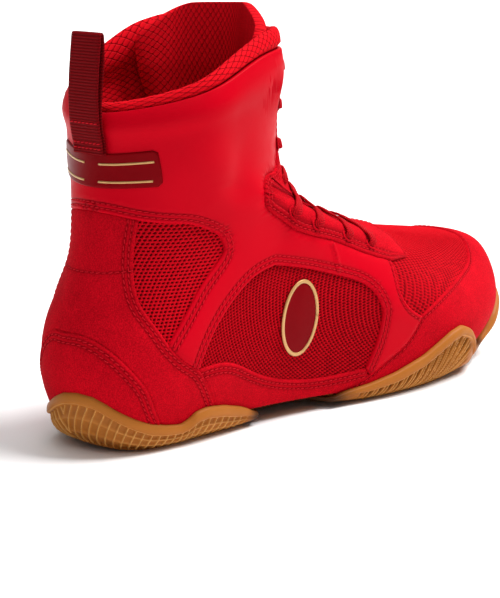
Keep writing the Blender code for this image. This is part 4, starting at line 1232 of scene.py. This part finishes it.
def make_heel():
    """The suede counter and the patch over its foot."""
    top = [p for p in cuff if p[0] < ACHILLES_EDGE[0][0] - CUFF_CLEAR]
    low = sole_line(COUNTER_EDGE[-1][0], PATCH_EDGE[-1][0])
    half, shown = outlines((top, UNDERLAP), (achilles, 0), (counter[:-1], 0), (low, 0),
                           (patch[::-1][1:], UNDERLAP))
    seam = along(COUNTER_SEAM)
    sewn = both([(chain(achilles, counter[:-1]), DOUBLE_ROW)]) + [(chain(flip(seam), seam), SEAM_ROW)]
    laps = [chain(flip(top), top), leaning(chain(flip(patch), patch))]
    panel("counter_panel", leaning(mirrored(half)), HEIGHT["counter"], SUEDE, ["heel_counter"],
          sewn, laps, leaning(mirrored(shown)))
    half = chain(patch[:-1], sole_line(PATCH_EDGE[-1][0], 0))
    arch = leaning(chain(flip(patch[:-1]), patch[:-1]))
    panel("patch_panel", leaning(mirrored(half)), HEIGHT["patch"], SUEDE, ["heel_patch"],
          [(arch, DOUBLE_ROW)])


def make_rands():
    """The suede rands at the sides and round the toe."""
    front = [p for p in rand_low if p[0] <= STRAP_END]
    back = [p for p in reversed(counter[:-1]) if p[1] < WINDOW_FOOT[-1][1]]
    low = sole_line(RAND_EDGE_LOW[0][0], COUNTER_EDGE[-1][0])
    half, shown = outlines((window_foot[::-1], 0), (front[::-1], UNDERLAP), (low, 0), (back, UNDERLAP))
    for tag, turn, _ in SIDES:
        panel(f"rand_{tag}", turn(half), HEIGHT["rand"], SUEDE, [f"side_rand_{tag}"],
              [(turn(window_foot[::-1]), DOUBLE_ROW)], [turn(front), turn(back)], turn(shown))
    upper_edge = chain([p for p in rand_low if p[0] > RAND_TIP], rand_high)
    edge = chain(upper_edge, over_toe(upper_edge))
    outline = chain(edge, sole_line(2 - RAND_TIP - RAND_TIP_LAP, RAND_TIP + RAND_TIP_LAP))
    panel("toe_panel", outline, HEIGHT["toe"], SUEDE, ["toe_rand"], [(edge, SINGLE_ROW)])


def make_eyestay():
    """The suede eyestay round the throat, open along the slit."""
    slit = np.linspace(COLLAR_EDGE_LEVEL, THROAT_START + SLIT_END, SLIT_STEPS)
    near_edge = [(1 - SLIT, t) for t in slit[::-1]]
    far_edge = [(1 + SLIT, t) for t in slit]
    rim = [(a, COLLAR_EDGE_LEVEL) for a in np.linspace(1 - SLIT, EYESTAY_EDGE[-1][0], RIM_STEPS)]
    front = chain([EYESTAY_TIP], eyestay_front, over_toe(eyestay_front), over_toe([EYESTAY_TIP]))
    near_side, far_side = eyestay_edge[::-1], over_toe(eyestay_edge[::-1])
    outline = chain(front, far_side, over_toe(rim), far_edge, [(1, THROAT_START)], near_edge, rim, near_side)
    panel("eyestay_panel", outline, HEIGHT["eyestay"], SUEDE, ["eyestay"],
          [(front, SINGLE_ROW), (near_side, DOUBLE_ROW), (far_side, DOUBLE_ROW)])


def make_mesh():
    """Mesh in the ankle windows, the side windows and the vamp."""
    start = [p for p in cuff if p[0] >= ACHILLES_EDGE[0][0]]
    ankle = chain(achilles, start[::-1])
    side = chain(window_back, window_top, window_front, window_foot)
    for tag, turn, sign in SIDES:
        mesh_window(f"ankle_mesh_{tag}", turn(ankle), **MESH["ankle"])
        mesh_window(f"side_mesh_{tag}", turn(side), turn=-sign * SIDE_MESH_TURN, **MESH["side"])
    front = chain(vamp, [EYESTAY_TIP], eyestay_front)
    outline = chain(front, over_toe(front), over_toe(rand_high[::-1]), rand_high[::-1])
    mesh_window("vamp_mesh", outline, **MESH["vamp"])


def make_upper():
    """The upper's wall: mesh outside, padded roll at the collar and lining inside."""
    around = np.linspace(-1, 1, UPPER_COLUMNS)
    below, above = UPPER_ROWS
    rise = np.concatenate([np.linspace(0, THROAT_START, below),
                           np.linspace(THROAT_START, ROLL_LEVEL, above)[1:]])
    rows = [(t, -UPPER_SUNK, 0.0) for t in rise]
    middle, half = (ROLL_OUT + ROLL_IN) / 2, (ROLL_OUT - ROLL_IN) / 2
    for turn in np.linspace(0, math.pi, ROLL_STEPS)[1:-1]:
        rows.append((ROLL_LEVEL + ROLL_RISE * math.sin(turn), middle + half * math.cos(turn), math.sin(turn)))
    rows += [(t, -wall_at(t), 0.0) for t in rise[::-1]]
    (start, full), (stop, still) = ROLL_MEDIAL_FROM, ROLL_MEDIAL_TO
    medial = smooth_step((around - start) / (full - start)) * smooth_step((stop - around) / (stop - still))
    more = ROLL_MORE * smooth_step((ROLL_END - np.abs(around)) / ROLL_FADE) + ROLL_MEDIAL * medial
    width, count = len(around), len(rows)
    points = np.array([skin.place(around, min(t, TOP_LEVEL), lift) for t, lift, _ in rows])
    for r, (t, _, share) in enumerate(rows):
        points[r, :, 2] += max(t - TOP_LEVEL, 0) * LEVEL_HEIGHT + share * more
        if t <= THROAT_START:
            points[r, -1] = points[r, 0]
    faces = [tuple(v % (count * width) for v in face) for face in grid_faces(count + 1, width)]
    for r in range(below - 1, count // 2):
        other = count - 1 - r
        for c in (0, width - 1):
            ring = [row * width + c for row in (r, r + 1, other - 1, other)]
            faces.append(ring if r + 1 < other - 1 else ring[:2] + ring[3:])
    outside = (len(rise) - 1) * (width - 1)
    slots = [0 if i < outside else 1 for i in range(len(faces))]
    steps = np.linalg.norm(np.diff(points, axis=0), axis=-1).mean(1)
    run = np.repeat(np.concatenate([[0], np.cumsum(steps)]), width)
    weave = np.stack([np.tile(around, count) * CLOTH_AROUND, run, np.zeros(count * width)], -1)
    # Its outer face gets painted shade all over through the 'hole' attribute, for lying under the mesh.
    piece = make_piece("upper_body", points.reshape(-1, 3), faces, [KNIT, LINING], ["upper"],
                       {"weave": weave, "hole": np.full(count * width, UPPER_SHADE)}, face_slots=slots)
    outward(piece, weld=0.001)


def make_tongue():
    """Padded tongue that stands up inside the throat and wraps round the shin."""
    table = np.array(TONGUE)
    run = np.linspace(0, len(table) - 1, TONGUE_ROWS)
    shares = np.linspace(-1, 1, TONGUE_COLUMNS)
    grid = []
    for level, edge in spline(np.arange(len(table)), table)(run):
        around = np.sign(shares) * (1 - (1 - edge) * np.abs(shares))
        around[shares == 0] = 1.0
        fall = np.where(around < 0, ((1 - np.abs(around)) / TONGUE_FALL_WAY)**TONGUE_FALL_POWER, 0)
        fall *= TONGUE_FALL * smooth_step((level - TONGUE_FALL_FROM) / TONGUE_FALL_RISE)
        grid.append(np.stack([around, level - fall], -1))
    around, levels = np.moveaxis(np.array(grid), -1, 0)
    wall = wall_at(np.minimum(levels, ROLL_LEVEL)) + TONGUE_CLEAR
    to_top = (1 - run / run[-1])[:, None] * TONGUE_TOP_ROUND
    ends = np.minimum(1, np.minimum(1 - np.abs(shares)[None, :], to_top) * TONGUE_ROUND)
    thick = TONGUE_THICK * np.sqrt(np.clip(1 - (1 - ends)**2, TONGUE_LEAST, 1))
    off_centre = (1 - np.abs(around)) * row_scale(np.minimum(levels, TOP_LEVEL))
    low = smooth_step((TONGUE_SWELL_END - levels) / TONGUE_SWELL_FADE)
    middle = wall + TONGUE_THICK / 2 - TONGUE_SWELL * bell(off_centre / TONGUE_SWELL_HALF) * low
    faces = grid_faces(TONGUE_ROWS, TONGUE_COLUMNS)
    count = TONGUE_ROWS * TONGUE_COLUMNS
    faces += [tuple(v + count for v in face[::-1]) for face in faces]
    index = np.arange(count).reshape(TONGUE_ROWS, TONGUE_COLUMNS)
    rim = [*index[0], *index[1:, -1], *index[-1, -2::-1], *index[-2:0:-1, 0]]
    faces += [(b, a, a + count, b + count) for a, b in zip(rim, rim[1:] + rim[:1])]
    points = np.concatenate([whole.place(around, levels, side * thick / 2 - middle).reshape(-1, 3)
                             for side in (1, -1)])
    weave = np.stack([around * CLOTH_AROUND, levels * LEVEL_HEIGHT, 0 * levels], -1).reshape(-1, 3)
    weave = np.concatenate([weave, weave])
    piece = outward(make_piece("tongue_pad", points, faces, [LINING], ["tongue"], {"weave": weave}))


def sole_rings(around):
    """Rings of the sole: bed edge, lip, cup side; painted shade and highlight of each point; the edges below
    and of the foot.
    """
    foot, _, slope, _ = skin.look(around, 0.0)
    way = unit(slope * np.array([1, 1, 0]))
    out = np.stack([-way[:, 1], way[:, 0], np.zeros(len(around))], -1)
    edge_height = sole_height(around)
    level = skin.level_at_height(around, edge_height)
    cup = smooth_step(level / CUP_FADE)
    bare = (1 - cup)[:, None]
    drop = np.array([0, 0, WAIST_DROP])
    tuck = out * bare * WAIST_INSET * np.clip((foot[:, 2] - edge_height) / 2, 0, 1)[:, None]
    lip, normal, _, _ = skin.look(around, level)
    edge = lip + normal * CUP_OUT - bare * drop - tuck
    under = foot - out * UNDER_INSET - tuck
    under[:, 2] = sole_under_at(foot[:, 0])
    inner = lip - normal * CUP_IN - tuck - bare * (drop + out)
    bed = foot - drop * BED_DROP - out * BED_INSET
    rings, shading_rings = [bed, inner], [np.zeros(len(around))] * 2
    folded = np.abs(around)
    (heel_end, heel_fade), ((start, start_way), (stop, stop_way)) = HEEL_ZONE_END, BALL_ZONE
    heel = smooth_step((heel_end - folded) / heel_fade)
    ball = smooth_step((folded - start) / start_way) * smooth_step((stop - folded) / stop_way)
    ribbed = np.maximum(heel, ball)
    run = run_along(edge)
    tall = np.maximum(edge[:, 2] - under[:, 2], 0.1)
    band = np.minimum(BAND_HEIGHT / tall, 1 - RIB_TOP)
    steps = np.concatenate([np.linspace(0, CUP_BAND_END, CUP_BAND_STEPS),
                            np.linspace(CUP_BAND_END, len(CUP_SIDE) - 1, CUP_RIB_STEPS + 1)[1:]])
    for height, share in spline(np.arange(len(CUP_SIDE)), np.array(CUP_SIDE))(steps):
        rise = 1 - (1 - height) * band / (1 - RIB_TOP) if height > RIB_TOP else height * (1 - band) / RIB_TOP
        point = under + (edge - under) * np.stack([np.full(len(around), share)] * 2 + [rise], -1)
        top = smooth_step((RIB_TOP - RIB_MARGIN - height) / RIB_FADE)
        zone = ribbed * top * smooth_step((height - RIB_MARGIN / 2) / RIB_FADE)
        heel_off, ball_off = (rib_offset(run, (1 - rise) * tall, ribs) for ribs in (HEEL_RIBS, BALL_RIBS))
        cross = bell(np.min([np.abs(height - at) * tall for at in CROSS_RIBS], axis=0) / CROSS_STRAND)
        heel_crest = np.maximum(bell(heel_off / HEEL_STRAND), CROSS_SHARE * cross)
        slit = 1 - BALL_SLIT_SHARE * bell(ball_off / BALL_SLIT)
        ball_crest = smooth_step((BALL_RIBS[0] / 2 - ball_off) / BALL_SLOPE) * slit
        bead = ribbed * bell((height - RIB_TOP - BEAD_OVER) / BEAD_HALF)
        sunk = heel * HEEL_RIBS[2] * (1 - heel_crest) + ball * BALL_RIBS[2] * (1 - ball_crest)
        sunk = zone * sunk - BEAD_HEIGHT * bead
        rings.append(point - (out - np.array([0, 0, RIB_TILT * (1 - height)])) * sunk[:, None])
        # Painted shade between ribs, painted highlight on crests and bead, and painted shadow under the waist
        # where there is no cup.
        hollow = heel * (HEEL_SHADE * (1 - heel_crest) - HEEL_HIGHLIGHT * heel_crest)
        hollow += ball * (BALL_SHADE * (1 - ball_crest) - BALL_HIGHLIGHT)
        shading_rings.append(np.clip(zone * hollow - BEAD_HIGHLIGHT * bead + (1 - cup), -1, 1))
    return rings, shading_rings, under, foot


def rib_offset(run, down, ribs):
    """Distance to the nearest rib's middle, this far along the sole and down its side."""
    pitch, lean, _ = ribs
    turn = (run + lean * down) / pitch
    return np.abs(turn - np.rint(turn)) * pitch


def make_sole():
    """Gum sole: smooth lip, ribbed heel and ball, smooth toe bumper, shallow tread underneath."""
    around = np.linspace(0, 1, SOLE_STATIONS)
    points, painted_shading, faces = [], [], []
    for side in (1, -1):
        rings, shading_rings, under, foot = sole_rings(side * around)
        middle = FULL_LENGTH / 2
        inner_x = middle + (foot[:, 0] - middle) * SPINE_SHARE
        spine = np.stack([inner_x, swing_at(inner_x), sole_under_at(foot[:, 0])], -1)
        bed_spine = np.stack([inner_x, swing_at(inner_x), foot[:, 2] - BED_SPINE_DROP], -1)
        for share in np.linspace(0, 1, UNDER_STEPS + 1)[1:]:
            point = under + (spine - under) * share
            wave = np.cos(2 * np.pi * (foot[:, 0] / TREAD_PITCH + TREAD_SLANT * share))
            groove = smooth_step((wave - TREAD_CUT) / TREAD_SLOPE)
            groove *= smooth_step((share - TREAD_MARGIN) * TREAD_EDGE)
            groove *= smooth_step((1 - share) * TREAD_MIDDLE)
            point[:, 2] += TREAD_DEPTH * groove
            rings.append(point)
            # Painted shade in the tread's grooves.
            shading_rings.append(TREAD_SHADE * groove)
        grid = np.stack([bed_spine, *rings], 1)
        start = len(points) * SOLE_STATIONS * grid.shape[1]
        points.append(grid.reshape(-1, 3))
        painted_shading.append(np.stack([np.zeros(len(around)), *shading_rings], 1).ravel())
        faces += [tuple(v + start for v in face[::side]) for face in grid_faces(SOLE_STATIONS, grid.shape[1])]
    piece = make_piece("gum_sole", np.concatenate(points), faces, [RUBBER], ["outsole"],
                       {"painted_shading": np.concatenate(painted_shading)})
    outward(piece, weld=0.002)


def tape(name, path, across, size, material, nodes=(), sides=12, power=0.45):
    """A flat woven tape along a path; across gives its width direction at each point."""
    width, thick = size
    way = unit(np.gradient(path, axis=0))
    across = unit(across - (across * way).sum(-1, keepdims=True) * way)
    normal = np.cross(way, across)
    turns = np.linspace(0, 2 * math.pi, sides, endpoint=False)
    side = np.sign(np.cos(turns)) * np.abs(np.cos(turns))**power
    rise = np.sign(np.sin(turns)) * np.abs(np.sin(turns))**TAPE_POWER
    off, over = side * width / 2, rise * thick / 2
    points = path[:, None] + across[:, None] * off[None, :, None] + normal[:, None] * over[None, :, None]
    weave = np.stack(np.broadcast_arrays(off[None, :], run_along(path)[:, None], 0.0), -1)
    faces = capped_tube(len(path), sides)
    outward(make_piece(name, points.reshape(-1, 3), faces, [material], nodes,
                       {"weave": weave.reshape(-1, 3)}))


def resample(points, step):
    """A smooth path through points, about one step apart."""
    points = np.asarray(points, float)
    run = run_along(points)
    count = max(3, int(run[-1] / step) + 1)
    return spline(run, points)(np.linspace(0, run[-1], count))


def make_pull_loop():
    """Webbing folded on itself: both straps are sewn to the back of the quarter, one over the other."""
    top = float(level_curve(TOP_LEVEL)[2]) + LOOP_RISE
    inner_lift = HEIGHT["quarter"] + LOOP_THICK / 2 + LOOP_CLEAR
    outer_lift = inner_lift + LOOP_THICK + LOOP_GAP
    levels = np.linspace(LOOP_LOW, LOOP_HIGH, 4)
    outer = skin.place(0.0, levels, outer_lift)
    inner = skin.place(0.0, levels[::-1], inner_lift)
    turn = [np.array([LOOP_TOP_X + x, outer[-1, 1], top + z]) for x, z in LOOP_TURN]
    path = resample([*outer, *turn, *inner], LOOP_STEP)
    sideways = np.array([0.0, 1.0, 0.0])
    tape("pull_tape", path, np.tile(sideways, (len(path), 1)), (LOOP_WIDTH, LOOP_THICK), WEBBING,
         ["pull_loop"], sides=20, power=0.2)
    way = unit(np.gradient(path, axis=0))
    run = run_along(path)
    count = LOOP_SEAM_STITCHES
    for at in LOOP_SEAMS:
        k = int(np.argmin(np.abs(run - at)))
        normal = unit(np.array([-way[k, 2], 0, way[k, 0]]))
        side = np.linspace(-LOOP_SEAM_HALF, LOOP_SEAM_HALF, count)[:, None] * LOOP_WIDTH * sideways
        centre = path[k] + side + normal * LOOP_THICK / 2
        stitch_spots.append((centre, np.tile(sideways, (count, 1)), np.tile(normal, (count, 1))))


def make_plate():
    """Back plate with plain gold lines."""
    corners = np.array(mirrored(chain(*[[p] for p in PLATE_EDGE])))
    shares = np.linspace(0, 1, PLATE_PARTS, endpoint=False)
    edge = [tuple(a + (b - a) * s) for a, b in zip(corners, np.roll(corners, -1, axis=0)) for s in shares]
    high = HEIGHT["quarter"]
    panel("back_plate_face", edge, high + PLATE_FACE, PLATE, ["back_plate"], spacing=PLATE_SPACING,
          base=high - PLATE_SINK, puff=0, radius=PLATE_RADIUS)
    line = along(PLATE_LINE, PLATE_LINE_STEP)
    for tag, turn, _ in SIDES:
        for row, gap in (("low", 0.0), ("high", PLATE_LINE_GAP)):
            path, across = skin.lay(turn([(a, t + gap) for a, t in line]), high + PLATE_LINE_OVER)
            tape(f"plate_line_{row}_{tag}", path, across, PLATE_LINE_SIZE, METAL, sides=8, power=0.6)


def make_badges():
    """Plain oval badges with a gold rim on the side mesh."""
    turns = np.linspace(0, 2 * math.pi, BADGE_CORNERS, endpoint=False)
    _, _, slope_around, slope_level = skin.look(*BADGE_CENTRE)
    size = np.array(BADGE_HALF) / (np.linalg.norm(slope_around), np.linalg.norm(slope_level))
    half = np.array(BADGE_CENTRE) + size * np.stack([np.cos(turns), np.sin(turns)], -1)
    for tag, _, side in SIDES[::-1]:
        oval = half * (side, 1)
        panel(f"badge_face_{tag}", [tuple(p) for p in oval], BADGE_FACE, PLATE,
              [f"side_badge_{tag}"], spacing=BADGE_SPACING, puff=BADGE_PUFF, radius=BADGE_RADIUS)
        ring = moved(oval, BADGE_RIM_INSET, turns_left(oval), closed=True)
        path, across = skin.lay(np.concatenate([ring, ring[:2]]), BADGE_RIM_OVER)
        tape(f"badge_rim_{tag}", path, across, BADGE_RIM_SIZE, METAL, sides=8, power=0.7)


def top_height(trees, first, point, out):
    """Height over a first point, along out, that clears the highest panel over another point."""
    start = Vector(to_world(point + out * LACE_REACH))
    hits = [tree.ray_cast(start, Vector(-out), LACE_REACH * 2 * MM) for tree in trees]
    hits = [hit for hit in hits if hit[0] is not None]
    if not hits:
        return -LACE_REACH
    hit, normal, _, _ = min(hits, key=lambda h: h[3])
    slope = max(np.dot(np.array(normal), out), LACE_STEEPEST)
    return np.dot(np.array(hit) / MM - SHIFT - first, out) + LACE_OVER / slope


def smoothed(heights, half):
    """Running mean over a window of this half width."""
    count = 2 * half + 1
    return np.convolve(np.pad(heights, half, mode="edge"), np.ones(count) / count, mode="valid")


def lace_path(trees, start, end, lift):
    """Route of a lace close over what carries it, between two places; each is a point and its normal."""
    first, last = start[0], end[0]
    length = np.linalg.norm(last - first)
    way = (last - first) / length
    out = start[1] + end[1]
    out = unit(out - np.dot(out, way) * way)
    across = np.cross(out, way) * LACE_WIDTH / 2
    hull, ground = [], []
    for run in np.linspace(0, length, LACE_SAMPLES + 1):
        spots = [first + way * run + side * across for side in LACE_SIDES]
        spot = np.array((run, max(top_height(trees, first, p, out) for p in spots)))
        ground.append(spot)
        while len(hull) > 1:
            (ax, ay), (bx, by) = hull[-1] - hull[-2], spot - hull[-2]
            if ax * by - ay * bx < 0:
                break
            hull.pop()
        hull.append(spot)
    fine = np.linspace(0, length, LACE_STEPS)
    taut, low = (np.interp(fine, *np.array(line).T) for line in (hull, ground))
    low = np.where(low < -LACE_REACH / 4, taut, low)
    height = low + (taut - low) * LACE_TAUT
    height = np.maximum(height, smoothed(height, LACE_SMOOTH[0]))
    height += LACE_THICK / 2 + lift * (1 - smooth_step((fine - LACE_CROSSING[0]) / LACE_CROSSING[1]))
    height = smoothed(height, LACE_SMOOTH[1])
    return first + fine[:, None] * way + height[:, None] * out, across


def make_laces():
    """Flat lace: a bar on the lowest row and crossings above it, each end going down its hole."""
    bpy.context.view_layer.update()
    graph = bpy.context.evaluated_depsgraph_get()
    carriers = ("eyestay_panel", "quarter_panel", "tongue_pad")
    trees = [BVHTree.FromObject(bpy.data.objects[name], graph) for name in carriers]

    def hole(row, side):
        _, level, around = row
        point, normal, _, _ = skin.look(side * around, level)
        return point + normal * HEIGHT["eyestay"], normal

    def start(low, high, side):
        point, normal, _, _ = whole.look(side * LACE_START, (low[0] + high[0]) / 2)
        return point, normal

    def dive(spot, way):
        """Points that take the lace's end down its hole."""
        point, normal = spot
        return [point + normal * over + way * ahead for over, ahead in LACE_DIVE]

    def run_lace(name, nodes, first, last, lift, both_ends):
        path, across = lace_path(trees, first, last, lift)
        way, back = unit(path[-1] - path[-4]), unit(path[0] - path[3])
        route = list(path[:-1]) + dive(last, way)
        if both_ends:
            route = dive(first, back)[::-1] + route[1:]
        route = resample(route, LACE_STEP)
        across = np.tile(across, (len(route), 1))
        tape(name, route, across, (LACE_WIDTH, LACE_THICK), LACE, nodes)
        make_eyelet(f"{name}_hole", last, way)
        if both_ends:
            make_eyelet(f"{name}_hole_far", first, back)

    run_lace("lace_run_0", ["lace_bar"], hole(LACE_ROWS[0], -1), hole(LACE_ROWS[0], 1), 0.0, True)
    for i, (low, high) in enumerate(zip(LACE_ROWS, LACE_ROWS[1:]), 1):
        run_lace(f"lace_run_{i}_under", [f"lace_{i}"], start(low, high, -1), hole(high, 1), 0.0, False)
        run_lace(f"lace_run_{i}_over", [], start(low, high, 1), hole(high, -1), LACE_THICK, False)


def make_eyelet(name, spot, way):
    """A punched hole: an oval of painted shade with a soft raised rim."""
    point, normal = spot
    way = unit(way - np.dot(way, normal) * normal)
    across = np.cross(normal, way)
    centre = point + way * EYELET_AHEAD + normal * EYELET_OVER
    turns = np.linspace(0, 2 * math.pi, EYELET_SIDES, endpoint=False)
    long, wide = EYELET_HALF
    oval = np.outer(np.cos(turns), way) * long + np.outer(np.sin(turns), across) * wide
    rings = [centre + normal * rise + oval * size for size, rise in EYELET_RINGS]
    faces = tube_faces(len(rings), EYELET_SIDES)
    # The hole's rings carry painted shade; the rim is suede.
    slots = [0 if i < EYELET_SIDES else 1 for i in range(len(faces))]
    make_piece(name, np.concatenate(rings), faces, [EYELET_SHADE, SUEDE], face_slots=slots)


def dress_insole():
    """The insole keeps its solid and gets a cloth finish."""
    cloth = plain("insole_cloth", shade(RED_LINING, 0.6), 0.85, Sheen_Weight=0.2)
    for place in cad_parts["insole"].material_slots:
        place.material = cloth


# Studio.


def make_floor():
    corners = [(x * FLOOR_HALF, y * FLOOR_HALF, 0) for x, y in ((-1, -1), (1, -1), (1, 1), (-1, 1))]
    mesh = bpy.data.meshes.new("floor")
    mesh.from_pydata(corners, [], [(0, 1, 2, 3)])
    mesh.materials.append(Paint("floor", FLOOR_WHITE, 0.7).material)
    floor = add_object("floor", mesh)


def soft_light(name, azimuth, elevation, spread, strength):
    """A wide, even light aimed at the shoe."""
    light = bpy.data.lights.new(name, "SUN")
    light.angle = math.radians(spread)
    light.energy = strength
    lamp = add_object(name, light)
    lamp.rotation_euler = way_from(azimuth, elevation).to_track_quat("Z", "Y").to_euler()


def make_world():
    """White backdrop behind the shoe and a dimmer room on the camera's side."""
    world = bpy.data.worlds.new("studio")
    world.use_nodes = True
    nodes, links = world.node_tree.nodes, world.node_tree.links
    background = nodes["Background"]
    background.inputs["Color"].default_value = (1, 1, 1, 1)
    way = nodes.new("ShaderNodeTexCoord")
    facing = nodes.new("ShaderNodeVectorMath")
    facing.operation = "DOT_PRODUCT"
    facing.inputs[1].default_value = BACKDROP_WAY
    level = nodes.new("ShaderNodeMapRange")
    level.interpolation_type = "SMOOTHSTEP"
    for name, value in zip(("From Min", "From Max", "To Min", "To Max"), BACKDROP_RANGE):
        level.inputs[name].default_value = value
    links.new(way.outputs["Generated"], facing.inputs[0])
    links.new(facing.outputs["Value"], level.inputs["Value"])
    links.new(level.outputs["Result"], background.inputs["Strength"])
    bpy.context.scene.world = world


def make_studio():
    make_floor()
    make_world()
    for light in LIGHTS:
        soft_light(*light)
    bpy.context.scene.view_settings.view_transform = "Standard"


def make_camera():
    data = bpy.data.cameras.new("camera")
    data.sensor_width = SENSOR_WIDTH
    data.lens = FOCAL_PIXELS * SENSOR_WIDTH / PHOTO_HEIGHT
    data.shift_x = -(AXIS_PIXEL[0] - PHOTO_WIDTH / 2) / PHOTO_HEIGHT
    data.shift_y = -(PHOTO_HEIGHT / 2 - AXIS_PIXEL[1]) / PHOTO_HEIGHT
    camera = add_object("camera", data)
    back = way_from(CAMERA_AZIMUTH, CAMERA_ELEVATION)
    place = Matrix.Translation(Vector(to_world(CAMERA_TARGET)) + back * CAMERA_DISTANCE * MM)
    aim = back.to_track_quat("Z", "Y").to_matrix().to_4x4()
    camera.matrix_world = place @ aim @ Matrix.Rotation(math.radians(CAMERA_ROLL), 4, "Z")
    bpy.context.scene.camera = camera


make_camera()
make_studio()
make_upper()
make_tongue()
make_mesh()
make_quarter()
make_heel()
make_rands()
make_eyestay()
make_plate()
make_badges()
make_pull_loop()
make_stitches()
make_sole()
make_laces()
dress_insole()
